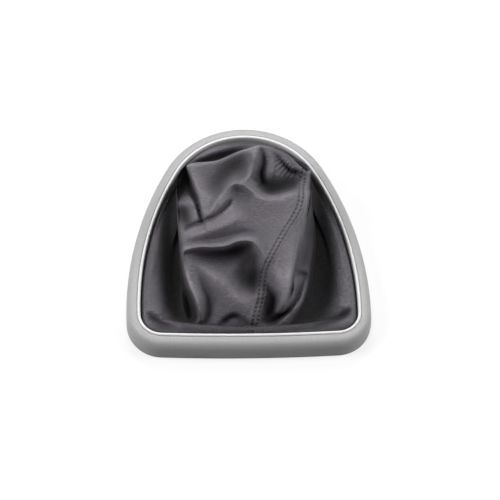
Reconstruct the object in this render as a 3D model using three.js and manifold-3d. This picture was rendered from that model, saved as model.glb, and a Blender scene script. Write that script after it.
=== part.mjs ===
// Gear lever gaiter: a folded leather boot held in a moulded surround frame.
// Millimetres, +Z up, +Y away from the driver's side of the frame, +X to the right.
// The origin is the centre of the frame's foot, on the surface that it stands on.

import * as THREE from "three";
import { mergeVertices } from "three/addons/utils/BufferGeometryUtils.js";
import Module from "manifold-3d";

const wasm = await Module();
wasm.setup();

// Driving sizes of the opening in the frame, measured at the crest of its lip.
const OPENING_WIDTH = 138;
const NEAR_EDGE_RADIUS = 1150;
const NEAR_CORNER_RADIUS = 14.5;
const SIDE_RADIUS = 206;
const NOSE_RADIUS = 50.5;
const SIDE_START_TURN = THREE.MathUtils.degToRad(88);

// Surround frame, seen in section across its ring.
const FRAME_HEIGHT = 15;
const SIDE_RING_WIDTH = 8;
const END_RING_WIDTH = 9;
const FRAME_WALL = 2;
const LIP_RADIUS = 0.95;
const LIP_GROOVE_DEPTH = 0.55;
const LIP_GROOVE_WIDTH = 0.35;
const INNER_WALL_FOOT = 8;
const SHOULDER_FULLNESS = 2.5;

// Snap beads inside the frame's wall, which hold the retainer ring up.
const SNAP_COUNT = 8;
const SNAP_LENGTH = 9;
const SNAP_REACH = 1.4;
const SNAP_HEIGHT = 1.1;

// Leather and what holds it.
const LEATHER = 1.2;
const HEM_LEATHER = 1.8;
const HEM_DEPTH = 0.05;
const FLANGE_REACH = 4;
const BEND_START = 0.1;
const BEND_DROP = 0.05;
const BEND_RISE = 1.4;
const LIP_CLEARANCE = 0.75;
const SKIRT_LEAN = 0.15;
const CLEARANCE = 0.3;
const SEAM_GAP = 0.3;
const RETAINER_THICKNESS = 2.5;
const RETAINER_INNER_REACH = 0.6;

// Grid of each leather panel, and stations round the frame.
const RIGHT_PANEL_COLUMNS = 22;
const LEFT_PANEL_COLUMNS = 28;
const COLUMN_CROWDING = 1.15;
const SKIRT_ROWS = [1, 1, 1, 1, 2, 2, 3];
const BEND_ROWS = 5;
const EDGE_STATIONS = 3;
const CORNER_STATIONS = 7;
const SIDE_STATIONS = 8;
const NOSE_STATIONS = 10;

// The opening's outline is four arcs on each side of the middle plane: near edge, near corner, side and nose.
// The turns at which one arc hands over to the next follow from the width.
const HALF_WIDTH = OPENING_WIDTH / 2;
const CORNER_START_TURN = Math.asin(
  (HALF_WIDTH - SIDE_RADIUS + (SIDE_RADIUS - NEAR_CORNER_RADIUS) * Math.sin(SIDE_START_TURN)) /
    (NEAR_EDGE_RADIUS - NEAR_CORNER_RADIUS),
);
const NOSE_START_TURN = Math.PI - Math.asin((SIDE_RADIUS - HALF_WIDTH) / (SIDE_RADIUS - NOSE_RADIUS));
const ARCS = [
  { radius: NEAR_EDGE_RADIUS, from: 0, to: CORNER_START_TURN, stations: EDGE_STATIONS },
  { radius: NEAR_CORNER_RADIUS, from: CORNER_START_TURN, to: SIDE_START_TURN, stations: CORNER_STATIONS },
  { radius: SIDE_RADIUS, from: SIDE_START_TURN, to: NOSE_START_TURN, stations: SIDE_STATIONS },
  { radius: NOSE_RADIUS, from: NOSE_START_TURN, to: Math.PI, stations: NOSE_STATIONS },
];

// Lays the arcs end to end from the middle of the near edge, and notes each arc's centre and start length.
function layArcs() {
  let x = 0;
  let y = 0;
  let length = 0;
  const laid = ARCS.map((arc) => {
    const centre = [x - arc.radius * Math.sin(arc.from), y + arc.radius * Math.cos(arc.from)];
    x = centre[0] + arc.radius * Math.sin(arc.to);
    y = centre[1] - arc.radius * Math.cos(arc.to);
    const start = length;
    length += arc.radius * (arc.to - arc.from);
    return { ...arc, centre, start };
  });
  return { arcs: laid, halfLength: y / 2, halfPerimeter: length };
}

const OUTLINE = layArcs();
const HALF_LENGTH = OUTLINE.halfLength;

// Point and outward normal of the outline at a share of its whole length, from the middle of the near edge
// anticlockwise seen from above.
function outlineAt(share) {
  const turned = share - Math.floor(share);
  const mirrored = turned > 0.5;
  const along = (mirrored ? 1 - turned : turned) * 2 * OUTLINE.halfPerimeter;
  const arc = OUTLINE.arcs.findLast((each) => along >= each.start) ?? OUTLINE.arcs[0];
  const turn = arc.from + (along - arc.start) / arc.radius;
  const side = mirrored ? -1 : 1;
  return {
    x: side * (arc.centre[0] + arc.radius * Math.sin(turn)),
    y: arc.centre[1] - arc.radius * Math.cos(turn) - HALF_LENGTH,
    nx: side * Math.sin(turn),
    ny: -Math.cos(turn),
  };
}

// Shares of the outline's length at which the frame has a station.
function frameStations() {
  const right = OUTLINE.arcs.flatMap((arc) =>
    Array.from({ length: arc.stations }, (_, i) => {
      const turned = ((arc.to - arc.from) * i) / arc.stations;
      return (arc.start + arc.radius * turned) / (2 * OUTLINE.halfPerimeter);
    }),
  );
  const left = right.filter((share) => share > 0).map((share) => 1 - share);
  return [...right, 0.5, ...left.reverse()];
}

// Width of the frame's ring, which grows from the sides towards the near and far ends.
function ringWidth(normalX, normalY) {
  return SIDE_RING_WIDTH * normalX ** 2 + END_RING_WIDTH * normalY ** 2;
}

// Section of the frame's ring as [outward distance from the lip, height], for a ring of the given width.
const LIP_CENTRE_HEIGHT = FRAME_HEIGHT - LIP_RADIUS;
const FACE_START = LIP_RADIUS + LIP_GROOVE_WIDTH;
const FACE_HEIGHT = LIP_CENTRE_HEIGHT + LIP_RADIUS - LIP_GROOVE_DEPTH;
const WALL_STEPS = 7;
const LIP_STEPS = 5;

function rolledWall(reach, start, height, share) {
  const turn = (share * Math.PI) / 2;
  const bend = 2 / SHOULDER_FULLNESS;
  return [start + (reach - start) * Math.cos(turn) ** bend, height * Math.sin(turn) ** bend];
}

function innerWallReach(width, height) {
  const top = FACE_HEIGHT - FRAME_WALL;
  const fall = 1 - (height / top) ** SHOULDER_FULLNESS;
  const start = LIP_RADIUS + CLEARANCE;
  return start + (width - FRAME_WALL - start) * fall ** (1 / SHOULDER_FULLNESS);
}

function frameSection(width) {
  const points = [];
  for (let i = 0; i <= WALL_STEPS; i += 1) {
    points.push(rolledWall(width, FACE_START, FACE_HEIGHT, i / WALL_STEPS));
  }
  for (let i = 0; i <= LIP_STEPS; i += 1) {
    const turn = (Math.PI * i) / LIP_STEPS;
    points.push([LIP_RADIUS * Math.cos(turn), LIP_CENTRE_HEIGHT + LIP_RADIUS * Math.sin(turn)]);
  }
  points.push([-LIP_RADIUS, INNER_WALL_FOOT], [LIP_RADIUS, INNER_WALL_FOOT]);
  const roof = FACE_HEIGHT - FRAME_WALL;
  for (let i = WALL_STEPS; i >= 0; i -= 1) {
    points.push(rolledWall(width - FRAME_WALL, LIP_RADIUS + CLEARANCE, roof, i / WALL_STEPS));
  }
  return points;
}

// Sweeps a closed section round the outline into one closed ring.
function sweepRing(sectionFor) {
  const stations = frameStations();
  const positions = [];
  const faces = [];
  let count = 0;
  stations.forEach((share) => {
    const at = outlineAt(share);
    const section = sectionFor(ringWidth(at.nx, at.ny));
    count = section.length;
    section.forEach(([out, height]) => {
      positions.push(at.x + at.nx * out, at.y + at.ny * out, height);
    });
  });
  stations.forEach((_, i) => {
    const here = i * count;
    const next = ((i + 1) % stations.length) * count;
    for (let j = 0; j < count; j += 1) {
      const k = (j + 1) % count;
      faces.push(here + j, next + j, next + k, here + j, next + k, here + k);
    }
  });
  return meshGeometry(positions, faces);
}

function meshGeometry(positions, faces) {
  const geometry = new THREE.BufferGeometry();
  geometry.setAttribute("position", new THREE.Float32BufferAttribute(positions, 3));
  geometry.setIndex(faces);
  return geometry;
}

const MERGE_DISTANCE = 1e-4;

function solidFrom(geometry) {
  const bare = new THREE.BufferGeometry();
  bare.setAttribute("position", geometry.getAttribute("position").clone());
  if (geometry.index) bare.setIndex(geometry.index.clone());
  const merged = mergeVertices(bare, MERGE_DISTANCE);
  return new wasm.Manifold(
    new wasm.Mesh({
      numProp: 3,
      vertProperties: new Float32Array(merged.getAttribute("position").array),
      triVerts: new Uint32Array(merged.index.array),
    }),
  );
}

function geometryFrom(solid) {
  const mesh = solid.getMesh();
  return meshGeometry(Array.from(mesh.vertProperties), Array.from(mesh.triVerts));
}

// Heights of the clamped stack under the inner wall: leather flange, then the retainer ring.
const FLANGE_TOP = INNER_WALL_FOOT - CLEARANCE;
const RETAINER_TOP = FLANGE_TOP - LEATHER - CLEARANCE;
const RETAINER_FOOT = RETAINER_TOP - RETAINER_THICKNESS;
const SNAP_TOP = RETAINER_FOOT - CLEARANCE;

function snapBead(share) {
  const at = outlineAt(share);
  const wall = ringWidth(at.nx, at.ny) - FRAME_WALL;
  const rooted = FRAME_WALL / 2;
  const box = new THREE.BoxGeometry(SNAP_REACH + rooted, SNAP_LENGTH, SNAP_HEIGHT);
  const out = wall + (rooted - SNAP_REACH) / 2;
  box.rotateZ(Math.atan2(at.ny, at.nx));
  box.translate(at.x + at.nx * out, at.y + at.ny * out, SNAP_TOP - SNAP_HEIGHT / 2);
  return solidFrom(box);
}

function surroundFrame() {
  let ring = solidFrom(sweepRing(frameSection));
  for (let i = 0; i < SNAP_COUNT; i += 1) {
    ring = ring.add(snapBead((i + 0.5) / SNAP_COUNT));
  }
  return geometryFrom(ring);
}

function leatherRetainerRing() {
  return sweepRing((width) => {
    const reach = innerWallReach(width, RETAINER_TOP) - CLEARANCE;
    return [
      [-RETAINER_INNER_REACH, RETAINER_FOOT],
      [reach, RETAINER_FOOT],
      [reach, RETAINER_TOP],
      [-RETAINER_INNER_REACH, RETAINER_TOP],
    ];
  });
}

// Skirt of the boot: rings that follow the opening's outline, from the clamped flange up the inside of the lip
// and over the crest. Inset is measured inwards from the lip, and may differ by side. The flange ends just
// before the inner wall's edge, and the leather bends up there, clear of the wall.
const SIDES = (right, back, left, front) => ({ right, back, left, front });
const EVEN = (value) => SIDES(value, value, value, value);
const SKIRT_RINGS = [
  { inset: EVEN(-FLANGE_REACH), height: EVEN(FLANGE_TOP) },
  { inset: EVEN(LIP_RADIUS - BEND_START), height: EVEN(FLANGE_TOP - BEND_DROP) },
  { inset: EVEN(LIP_RADIUS + LIP_CLEARANCE), height: EVEN(FLANGE_TOP + BEND_RISE) },
  { inset: EVEN(LIP_RADIUS + LIP_CLEARANCE + SKIRT_LEAN), height: SIDES(11, 11.5, 11, 10.8) },
  { inset: SIDES(3.6, 3.4, 3.6, 2.9), height: SIDES(13.6, 14, 13.6, 13.2) },
  { inset: SIDES(7.5, 8, 8, 4.6), height: SIDES(15.2, 15.8, 15.2, 14) },
  { inset: SIDES(13, 15, 16, 6.6), height: SIDES(13, 13.5, 13, 12.6) },
];

// Bends of the boot above the skirt. Each ring has eight points, from the front seam anticlockwise:
// front seam, front right, right, back right, back seam, back left, left, front left.
// A point is [x, y, height], x and y as shares of the opening's half width and half length.
const BEND_RINGS = [
  [
    [0.04, -0.885, 9.5], [0.6, -0.79, 7.5], [0.72, -0.05, 6.5], [0.54, 0.52, 7],
    [0.03, 0.72, 8], [-0.5, 0.54, 7], [-0.65, -0.08, 6.5], [-0.6, -0.8, 8],
  ],
  [
    [0.04, -0.83, 14], [0.42, -0.8, 12], [0.64, -0.2, 12], [0.52, 0.47, 14],
    [0, 0.69, 15], [-0.53, 0.36, 16], [-0.62, -0.3, 14], [-0.48, -0.8, 12],
  ],
  [
    [0.07, -0.69, 22], [0.37, -0.68, 20], [0.59, -0.1, 20], [0.53, 0.48, 23],
    [0, 0.67, 24], [-0.57, 0.38, 29], [-0.61, -0.26, 26], [-0.36, -0.69, 21],
  ],
  [
    [0.12, -0.5, 34], [0.42, -0.45, 29], [0.57, 0.05, 29], [0.54, 0.49, 31],
    [0.02, 0.67, 32], [-0.58, 0.39, 41], [-0.6, -0.12, 37], [-0.3, -0.46, 34],
  ],
  [
    [0.26, -0.27, 43], [0.48, -0.17, 36], [0.57, 0.15, 36], [0.55, 0.49, 36],
    [0.08, 0.65, 38], [-0.55, 0.4, 49.5], [-0.54, 0.1, 46], [-0.18, -0.16, 46],
  ],
  [
    [0.43, -0.02, 46], [0.555, 0.06, 40], [0.58, 0.24, 41], [0.55, 0.49, 38.5],
    [0.18, 0.63, 42], [-0.25, 0.5, 52], [-0.33, 0.36, 53], [0.03, 0.12, 52],
  ],
  [
    [0.49, 0.2, 47.5], [0.565, 0.25, 44], [0.585, 0.33, 42], [0.54, 0.48, 39.5],
    [0.3, 0.6, 43], [0.1, 0.56, 51], [0.08, 0.48, 57.5], [0.21, 0.33, 54.5],
  ],
  [
    [0.519, 0.347, 48.5], [0.558, 0.36, 46], [0.578, 0.4, 43], [0.53, 0.47, 41],
    [0.4, 0.55, 43], [0.29, 0.57, 48], [0.23, 0.51, 56], [0.37, 0.45, 54.5],
  ],
];
const RING_POINTS = BEND_RINGS[0].length;
const RING_COUNT = SKIRT_RINGS.length + BEND_RINGS.length;
const VALLEY_RING = SKIRT_RINGS.length;

// Folds, laid out as they are seen from the front and above. A path point is [right, up, height of the fold]:
// right and up as shares of the opening's half width on the plane that faces the viewer, height in millimetres
// towards the viewer. The reaches to the left and right of the path, in millimetres, say how fast it fades.
const VIEW_ELEVATION = THREE.MathUtils.degToRad(60);
const VIEW_TURN = THREE.MathUtils.degToRad(5);
const VIEW_ROLL = THREE.MathUtils.degToRad(3.8);
const VIEW_DISTANCE = 1200;
const VIEW_CENTRE = new THREE.Vector3(0, 0, 8);
const FOLDS = [
  {
    name: "brow over the front hollow",
    left: 9,
    right: 3.2,
    path: [
      [-0.58, -0.15, 1.5], [-0.50, -0.10, 4.5], [-0.38, -0.08, 5.5], [-0.19, -0.03, 6.5],
      [-0.03, -0.00, 7], [0.06, -0.02, 6], [0.11, -0.09, 4], [0.14, -0.19, 1.5],
    ],
  },
  {
    name: "hollow under the brow",
    left: 6,
    right: 6,
    path: [
      [-0.51, -0.22, -2], [-0.34, -0.20, -5], [-0.14, -0.18, -7], [0.00, -0.22, -7],
      [0.06, -0.35, -5], [0.09, -0.47, -2],
    ],
  },
  {
    name: "left ridge down to the frame",
    left: 6.5,
    right: 2.8,
    path: [
      [-0.58, -0.17, 2.5], [-0.58, -0.26, 4], [-0.54, -0.39, 4.5], [-0.48, -0.55, 5],
      [-0.42, -0.67, 5], [-0.42, -0.76, 4], [-0.49, -0.84, 2],
    ],
  },
  {
    name: "furrow beside the left ridge",
    left: 5,
    right: 4,
    path: [
      [-0.45, -0.43, -1], [-0.38, -0.55, -2.5], [-0.33, -0.66, -4], [-0.34, -0.76, -4.5],
    ],
  },
  {
    name: "front panel swell",
    left: 9,
    right: 9,
    path: [
      [-0.30, -0.43, 2], [-0.21, -0.56, 3.5], [-0.12, -0.66, 3],
    ],
  },
  {
    name: "pocket beside the seam",
    left: 4.5,
    right: 5,
    path: [
      [0.09, -0.32, -3], [0.15, -0.42, -6], [0.21, -0.54, -8], [0.22, -0.66, -8],
      [0.18, -0.76, -5],
    ],
  },
  {
    name: "lower edge of the right panel",
    left: 7,
    right: 3,
    path: [
      [0.16, -0.35, 1.5], [0.23, -0.46, 3.5], [0.30, -0.56, 4], [0.34, -0.65, 2],
    ],
  },
  {
    name: "band above the brow",
    left: 3,
    right: 8,
    path: [
      [-0.56, 0.02, 2], [-0.43, 0.10, 4], [-0.30, 0.16, 4.5], [-0.15, 0.22, 4],
      [-0.03, 0.29, 2.5],
    ],
  },
  {
    name: "crease above the band",
    left: 3,
    right: 3,
    path: [
      [-0.47, 0.15, -1.5], [-0.40, 0.17, -4], [-0.30, 0.19, -4.5], [-0.19, 0.28, -4.5],
      [-0.14, 0.35, -3],
    ],
  },
  {
    name: "dip between band and brow",
    left: 7,
    right: 7,
    path: [
      [-0.23, 0.06, -1], [-0.02, 0.11, -2.5], [0.20, 0.17, -3], [0.36, 0.26, -1.5],
    ],
  },
  {
    name: "s-shaped ridge",
    left: 4,
    right: 8,
    path: [
      [-0.29, 0.17, 1.5], [-0.26, 0.31, 4], [-0.21, 0.42, 5.5], [-0.13, 0.50, 6],
      [-0.03, 0.51, 6], [0.05, 0.44, 5.5], [0.13, 0.37, 5], [0.27, 0.34, 4],
      [0.44, 0.36, 2.5],
    ],
  },
  {
    name: "hollow above the s-shaped ridge",
    left: 6,
    right: 6,
    path: [
      [0.14, 0.57, -4], [0.16, 0.47, -7], [0.23, 0.42, -5], [0.35, 0.42, -2],
    ],
  },
  {
    name: "valley beside the peak",
    left: 3.5,
    right: 3.5,
    path: [
      [0.14, 0.82, -3], [0.16, 0.74, -5], [0.17, 0.65, -5], [0.14, 0.55, -4],
    ],
  },
  {
    name: "ridge below the peak",
    left: 4,
    right: 4,
    path: [
      [0.11, 0.84, 2.5], [0.09, 0.74, 4.5], [0.05, 0.65, 4.5], [0.02, 0.57, 3],
    ],
  },
  {
    name: "ridge towards the hem",
    left: 5,
    right: 5,
    path: [
      [0.20, 0.81, 2], [0.25, 0.69, 3.5], [0.33, 0.57, 3.5], [0.44, 0.48, 2],
    ],
  },
  {
    name: "hollow of the upper panel",
    left: 8,
    right: 8,
    path: [
      [-0.06, 0.74, -2.5], [-0.08, 0.66, -4.5], [-0.14, 0.58, -4], [-0.23, 0.54, -2],
    ],
  },
  {
    name: "left notch",
    left: 3,
    right: 3.5,
    path: [
      [-0.55, 0.50, -2], [-0.51, 0.39, -4.5], [-0.46, 0.27, -5.5], [-0.42, 0.17, -4.5],
    ],
  },
  {
    name: "upper left fold",
    left: 5,
    right: 4,
    path: [
      [-0.54, 0.63, 2], [-0.47, 0.50, 3], [-0.42, 0.36, 3.5], [-0.38, 0.25, 2],
    ],
  },
  {
    name: "leaf below the notch",
    left: 3.5,
    right: 3.5,
    path: [
      [-0.59, 0.15, 2], [-0.55, 0.24, 3], [-0.53, 0.32, 1.5],
    ],
  },
];

const VIEW_BACK = new THREE.Vector3(
  -Math.sin(VIEW_TURN) * Math.cos(VIEW_ELEVATION),
  -Math.cos(VIEW_TURN) * Math.cos(VIEW_ELEVATION),
  Math.sin(VIEW_ELEVATION),
);
const LEVEL_RIGHT = new THREE.Vector3(Math.cos(VIEW_TURN), -Math.sin(VIEW_TURN), 0);
const LEVEL_UP = VIEW_BACK.clone().cross(LEVEL_RIGHT);
const VIEW_RIGHT = LEVEL_RIGHT.clone()
  .multiplyScalar(Math.cos(VIEW_ROLL))
  .addScaledVector(LEVEL_UP, Math.sin(VIEW_ROLL));
const VIEW_UP = LEVEL_UP.clone()
  .multiplyScalar(Math.cos(VIEW_ROLL))
  .addScaledVector(LEVEL_RIGHT, -Math.sin(VIEW_ROLL));

function seenAt(point) {
  const from = point.clone().sub(VIEW_CENTRE);
  const nearer = VIEW_DISTANCE / (VIEW_DISTANCE - from.dot(VIEW_BACK));
  return [from.dot(VIEW_RIGHT) * nearer, from.dot(VIEW_UP) * nearer];
}

// Value between b and c on a smooth curve through a, b, c and d.
function curveThrough(a, b, c, d, share) {
  const s2 = share * share;
  const s3 = s2 * share;
  return (
    0.5 * (2 * b + (c - a) * share + (2 * a - 5 * b + 4 * c - d) * s2 + (3 * b - a - 3 * c + d) * s3)
  );
}

function blendPoints(a, b, c, d, share) {
  return a.map((_, i) => curveThrough(a[i], b[i], c[i], d[i], share));
}

function bySide(values, share) {
  const across = Math.sin(2 * Math.PI * share);
  const along = -Math.cos(2 * Math.PI * share);
  const sideways = across > 0 ? values.right : values.left;
  const lengthways = along > 0 ? values.back : values.front;
  return sideways * across ** 2 + lengthways * along ** 2;
}

// Point of one ring at a share of the way round.
function ringPoint(ring, share) {
  if (ring < SKIRT_RINGS.length) {
    const { inset, height } = SKIRT_RINGS[ring];
    const at = outlineAt(share);
    const depth = bySide(inset, share);
    return [at.x - at.nx * depth, at.y - at.ny * depth, bySide(height, share)];
  }
  const points = BEND_RINGS[ring - SKIRT_RINGS.length];
  const place = (share - Math.floor(share)) * RING_POINTS;
  const first = Math.floor(place);
  const pick = (step) => points[(first + step + RING_POINTS) % RING_POINTS];
  const [x, y, z] = blendPoints(pick(-1), pick(0), pick(1), pick(2), place - first);
  return [x * HALF_WIDTH, y * HALF_LENGTH, z];
}

// Point of the smooth boot, before its folds. Rise runs from 0 at the flange to 1 at the hem.
function smoothBoot(share, rise) {
  const place = Math.min(Math.max(rise, 0), 1) * (RING_COUNT - 1);
  const first = Math.min(Math.floor(place), RING_COUNT - 2);
  const pick = (step) => ringPoint(Math.min(Math.max(first + step, 0), RING_COUNT - 1), share);
  return new THREE.Vector3(...blendPoints(pick(-1), pick(0), pick(1), pick(2), place - first));
}

// Small step in share and in rise, for directions on the surface.
const PROBE = 1e-3;

function smoothNormal(share, rise) {
  const low = Math.max(rise - PROBE, 0);
  const high = Math.min(rise + PROBE, 1);
  const round = smoothBoot(share + PROBE, rise).sub(smoothBoot(share - PROBE, rise));
  const up = smoothBoot(share, high).sub(smoothBoot(share, low));
  return round.cross(up).normalize();
}

function easeBetween(low, high, value) {
  const share = Math.min(Math.max((value - low) / (high - low), 0), 1);
  return share * share * (3 - 2 * share);
}

// Each fold's path as a fine polyline in millimetres.
const PATH_STEPS = 6;
const FOLD_LINES = FOLDS.map((fold) => {
  const pick = (i) => fold.path[Math.min(Math.max(i, 0), fold.path.length - 1)];
  const line = [];
  for (let i = 0; i < fold.path.length - 1; i += 1) {
    for (let step = 0; step < PATH_STEPS; step += 1) {
      line.push(blendPoints(pick(i - 1), pick(i), pick(i + 1), pick(i + 2), step / PATH_STEPS));
    }
  }
  line.push(pick(fold.path.length - 1));
  return { ...fold, line: line.map(([right, up, height]) => [right * HALF_WIDTH, up * HALF_WIDTH, height]) };
});

// Height of one fold at a seen place: it fades from its crest with the distance, over the reach of that side.
const CREST_ROUNDNESS = 0.8;
const LEAST_REACH = 4.5;

function heightOfFold(fold, seen) {
  let nearest = { distance: Infinity, side: 1, height: 0 };
  for (let i = 0; i < fold.line.length - 1; i += 1) {
    const [ax, ay, ah] = fold.line[i];
    const [bx, by, bh] = fold.line[i + 1];
    const dx = bx - ax;
    const dy = by - ay;
    const along = ((seen[0] - ax) * dx + (seen[1] - ay) * dy) / (dx * dx + dy * dy);
    const share = Math.min(Math.max(along, 0), 1);
    const fromX = seen[0] - ax - dx * share;
    const fromY = seen[1] - ay - dy * share;
    const distance = Math.hypot(fromX, fromY);
    if (distance < nearest.distance) {
      nearest = { distance, side: dx * fromY - dy * fromX, height: ah + (bh - ah) * share };
    }
  }
  const reach = nearest.distance / Math.max(nearest.side > 0 ? fold.left : fold.right, LEAST_REACH);
  return nearest.height * Math.exp(CREST_ROUNDNESS - Math.hypot(reach, CREST_ROUNDNESS));
}

// How far the folds push a point of the smooth boot towards the viewer. They fade where the boot turns away
// from the viewer, at the foot of the boot and at its hem.
const FACING_FROM = 0.05;
const FACING_TO = 0.45;
const FOOT_RISE = VALLEY_RING / (RING_COUNT - 1);
const FOOT_FADE = 0.06;
const HEM_FADE = 0.05;

function foldHeight(point, normal, rise) {
  const facing = easeBetween(FACING_FROM, FACING_TO, normal.dot(VIEW_BACK));
  const above = easeBetween(FOOT_RISE, FOOT_RISE + FOOT_FADE, rise);
  const below = 1 - easeBetween(1 - 2 * HEM_FADE, 1 - HEM_FADE, rise);
  const strength = facing * above * below;
  if (strength === 0) return 0;
  const seen = seenAt(point);
  return strength * FOLD_LINES.reduce((sum, fold) => sum + heightOfFold(fold, seen), 0);
}

function bootPoint(share, rise) {
  const point = smoothBoot(share, rise);
  const normal = smoothNormal(share, rise);
  const push = foldHeight(point, normal, rise);
  return { outer: point.clone().addScaledVector(VIEW_BACK, push), normal, push };
}

function leatherThickness(rise) {
  return LEATHER + (HEM_LEATHER - LEATHER) * easeBetween(1 - HEM_DEPTH, 1 - HEM_DEPTH / 2, rise);
}

// Rise of each row of a panel's grid: a few rows for each ring of the skirt, more for each bend above it.
const PANEL_RISES = [0];
for (let ring = 0; ring < RING_COUNT - 1; ring += 1) {
  const rows = SKIRT_ROWS[ring] ?? BEND_ROWS;
  for (let row = 1; row <= rows; row += 1) {
    PANEL_RISES.push((ring + row / rows) / (RING_COUNT - 1));
  }
}

// One panel from the front seam to the back seam, as a closed shell. The columns crowd towards the front.
function leatherPanel(frontShare, backShare, columns) {
  const mirrored = frontShare > backShare;
  const rows = PANEL_RISES.length - 1;
  const outer = [];
  const inner = [];
  PANEL_RISES.forEach((rise) => {
    const trim = (share) => {
      const step = smoothBoot(share + PROBE, rise).distanceTo(smoothBoot(share - PROBE, rise));
      return (SEAM_GAP * PROBE) / step;
    };
    const inwards = mirrored ? -1 : 1;
    const front = frontShare + inwards * trim(frontShare);
    const back = backShare - inwards * trim(backShare);
    for (let i = 0; i <= columns; i += 1) {
      const column = mirrored ? columns - i : i;
      const share = front + (back - front) * (column / columns) ** COLUMN_CROWDING;
      const { outer: skin, normal } = bootPoint(share, rise);
      outer.push(...skin.toArray());
      inner.push(...skin.clone().addScaledVector(normal, -leatherThickness(rise)).toArray());
    }
  });
  const across = columns + 1;
  const inside = outer.length / 3;
  const faces = [];
  const quad = (a, b, c, d) => faces.push(a, b, c, a, c, d);
  for (let row = 0; row < rows; row += 1) {
    for (let column = 0; column < columns; column += 1) {
      const a = row * across + column;
      quad(a, a + 1, a + across + 1, a + across);
      quad(inside + a, inside + a + across, inside + a + across + 1, inside + a + 1);
    }
    const first = row * across;
    const last = first + columns;
    quad(first, first + across, inside + first + across, inside + first);
    quad(last, inside + last, inside + last + across, last + across);
  }
  for (let column = 0; column < columns; column += 1) {
    const top = rows * across + column;
    quad(column, inside + column, inside + column + 1, column + 1);
    quad(top, top + 1, inside + top + 1, inside + top);
  }
  return meshGeometry([...outer, ...inner], faces);
}

const satinSilver = new THREE.MeshStandardMaterial({ color: 0xb9b8b6, roughness: 0.38, metalness: 0.55 });
const blackLeather = new THREE.MeshStandardMaterial({ color: 0x2a292c, roughness: 0.5, metalness: 0 });
const blackPlastic = new THREE.MeshStandardMaterial({ color: 0x1c1c1e, roughness: 0.6, metalness: 0 });

function named(name, geometry, material) {
  const mesh = new THREE.Mesh(geometry, material);
  mesh.name = name;
  return mesh;
}

const gaiter = new THREE.Group();
gaiter.add(
  named("surround_frame", surroundFrame(), satinSilver),
  named("leather_retainer_ring", leatherRetainerRing(), blackPlastic),
  named("leather_panel_right", leatherPanel(0, 0.5, RIGHT_PANEL_COLUMNS), blackLeather),
  named("leather_panel_left", leatherPanel(1, 0.5, LEFT_PANEL_COLUMNS), blackLeather),
);

export default gaiter;
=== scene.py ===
"""Looks of a gear lever gaiter: a limp black leather boot, sewn from two panels, in a satin silver surround.

Sizes are in millimetres until a mesh is made, which turns them to metres. +Z is up, and +Y points from the
straight near edge of the surround to its rounded far end.
"""

import logging
import math
from dataclasses import dataclass
from enum import Enum

import bpy
import numpy as np
from mathutils import Matrix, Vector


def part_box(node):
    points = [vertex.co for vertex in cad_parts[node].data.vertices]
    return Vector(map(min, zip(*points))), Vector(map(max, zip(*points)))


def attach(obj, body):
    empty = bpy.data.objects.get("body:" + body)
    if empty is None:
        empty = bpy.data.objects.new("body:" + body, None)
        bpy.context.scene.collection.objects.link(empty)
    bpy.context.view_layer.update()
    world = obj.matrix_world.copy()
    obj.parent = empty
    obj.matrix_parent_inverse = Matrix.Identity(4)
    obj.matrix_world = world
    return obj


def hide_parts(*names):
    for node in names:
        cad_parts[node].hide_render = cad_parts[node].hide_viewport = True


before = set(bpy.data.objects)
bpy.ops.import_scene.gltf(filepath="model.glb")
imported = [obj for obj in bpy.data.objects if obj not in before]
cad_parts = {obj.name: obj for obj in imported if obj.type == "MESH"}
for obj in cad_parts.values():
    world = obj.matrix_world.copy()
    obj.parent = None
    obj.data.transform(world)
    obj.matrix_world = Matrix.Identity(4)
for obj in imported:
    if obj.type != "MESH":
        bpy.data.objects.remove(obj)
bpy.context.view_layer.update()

Pair = tuple[float, float]
Triple = tuple[float, float, float]

MM = 0.001
LATTICE = 48  # boxes each way after which the lattice noise repeats
SHORTEST = 1e-12  # length below which a vector isn't scaled up
FADED_REACHES = 5.0  # reaches past which a fold is taken as flat
LIP_RADIUS = 0.95  # of the surround's raised lip
STITCH_PITCH = 2.8  # from one needle hole of a topstitch to the next
WHITE = (1.0, 1.0, 1.0)
UPWARDS = np.array([0.0, 0.0, 1.0])
LOG = logging.getLogger("gaiter")


def ease(low: float, high: float, value: np.ndarray) -> np.ndarray:
    """Smooth step from 0 at low to 1 at high.

    Args:
        low: value at which the step starts.
        high: value at which it ends.
        value: values to step.

    Returns:
        The stepped values.
    """
    share = np.clip((value - low) / (high - low), 0.0, 1.0)
    return share * share * (3.0 - 2.0 * share)


def bump(centre: float, spread: float, value: np.ndarray) -> np.ndarray:
    """Bell of height 1 at centre, which fades by exp(-(offset / spread) squared).

    Args:
        centre: value at which the bell is highest.
        spread: offset at which it has fallen to 1/e.
        value: values to look at.

    Returns:
        Heights of the bell.
    """
    return np.exp(-(((value - centre) / spread) ** 2))


def curve_through(
    a: np.ndarray, b: np.ndarray, c: np.ndarray, d: np.ndarray, share: np.ndarray
) -> np.ndarray:
    """Points between b and c on the smooth curve through a, b, c and d: the cubic whose slopes at b and at c
    are half the step between their neighbours.

    Args:
        a: points before b.
        b: points where the stretch starts.
        c: points where it ends.
        d: points after c.
        share: how far along the stretch, from 0 to 1.

    Returns:
        The points of the curve.
    """
    s2 = share * share
    s3 = s2 * share
    return 0.5 * (2 * b + (c - a) * share + (2 * a - 5 * b + 4 * c - d) * s2 + (3 * b - a - 3 * c + d) * s3)


def unit(vectors: np.ndarray) -> np.ndarray:
    """Vectors of the last axis scaled to length 1."""
    return vectors / np.maximum(np.linalg.norm(vectors, axis=-1, keepdims=True), SHORTEST)


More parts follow.
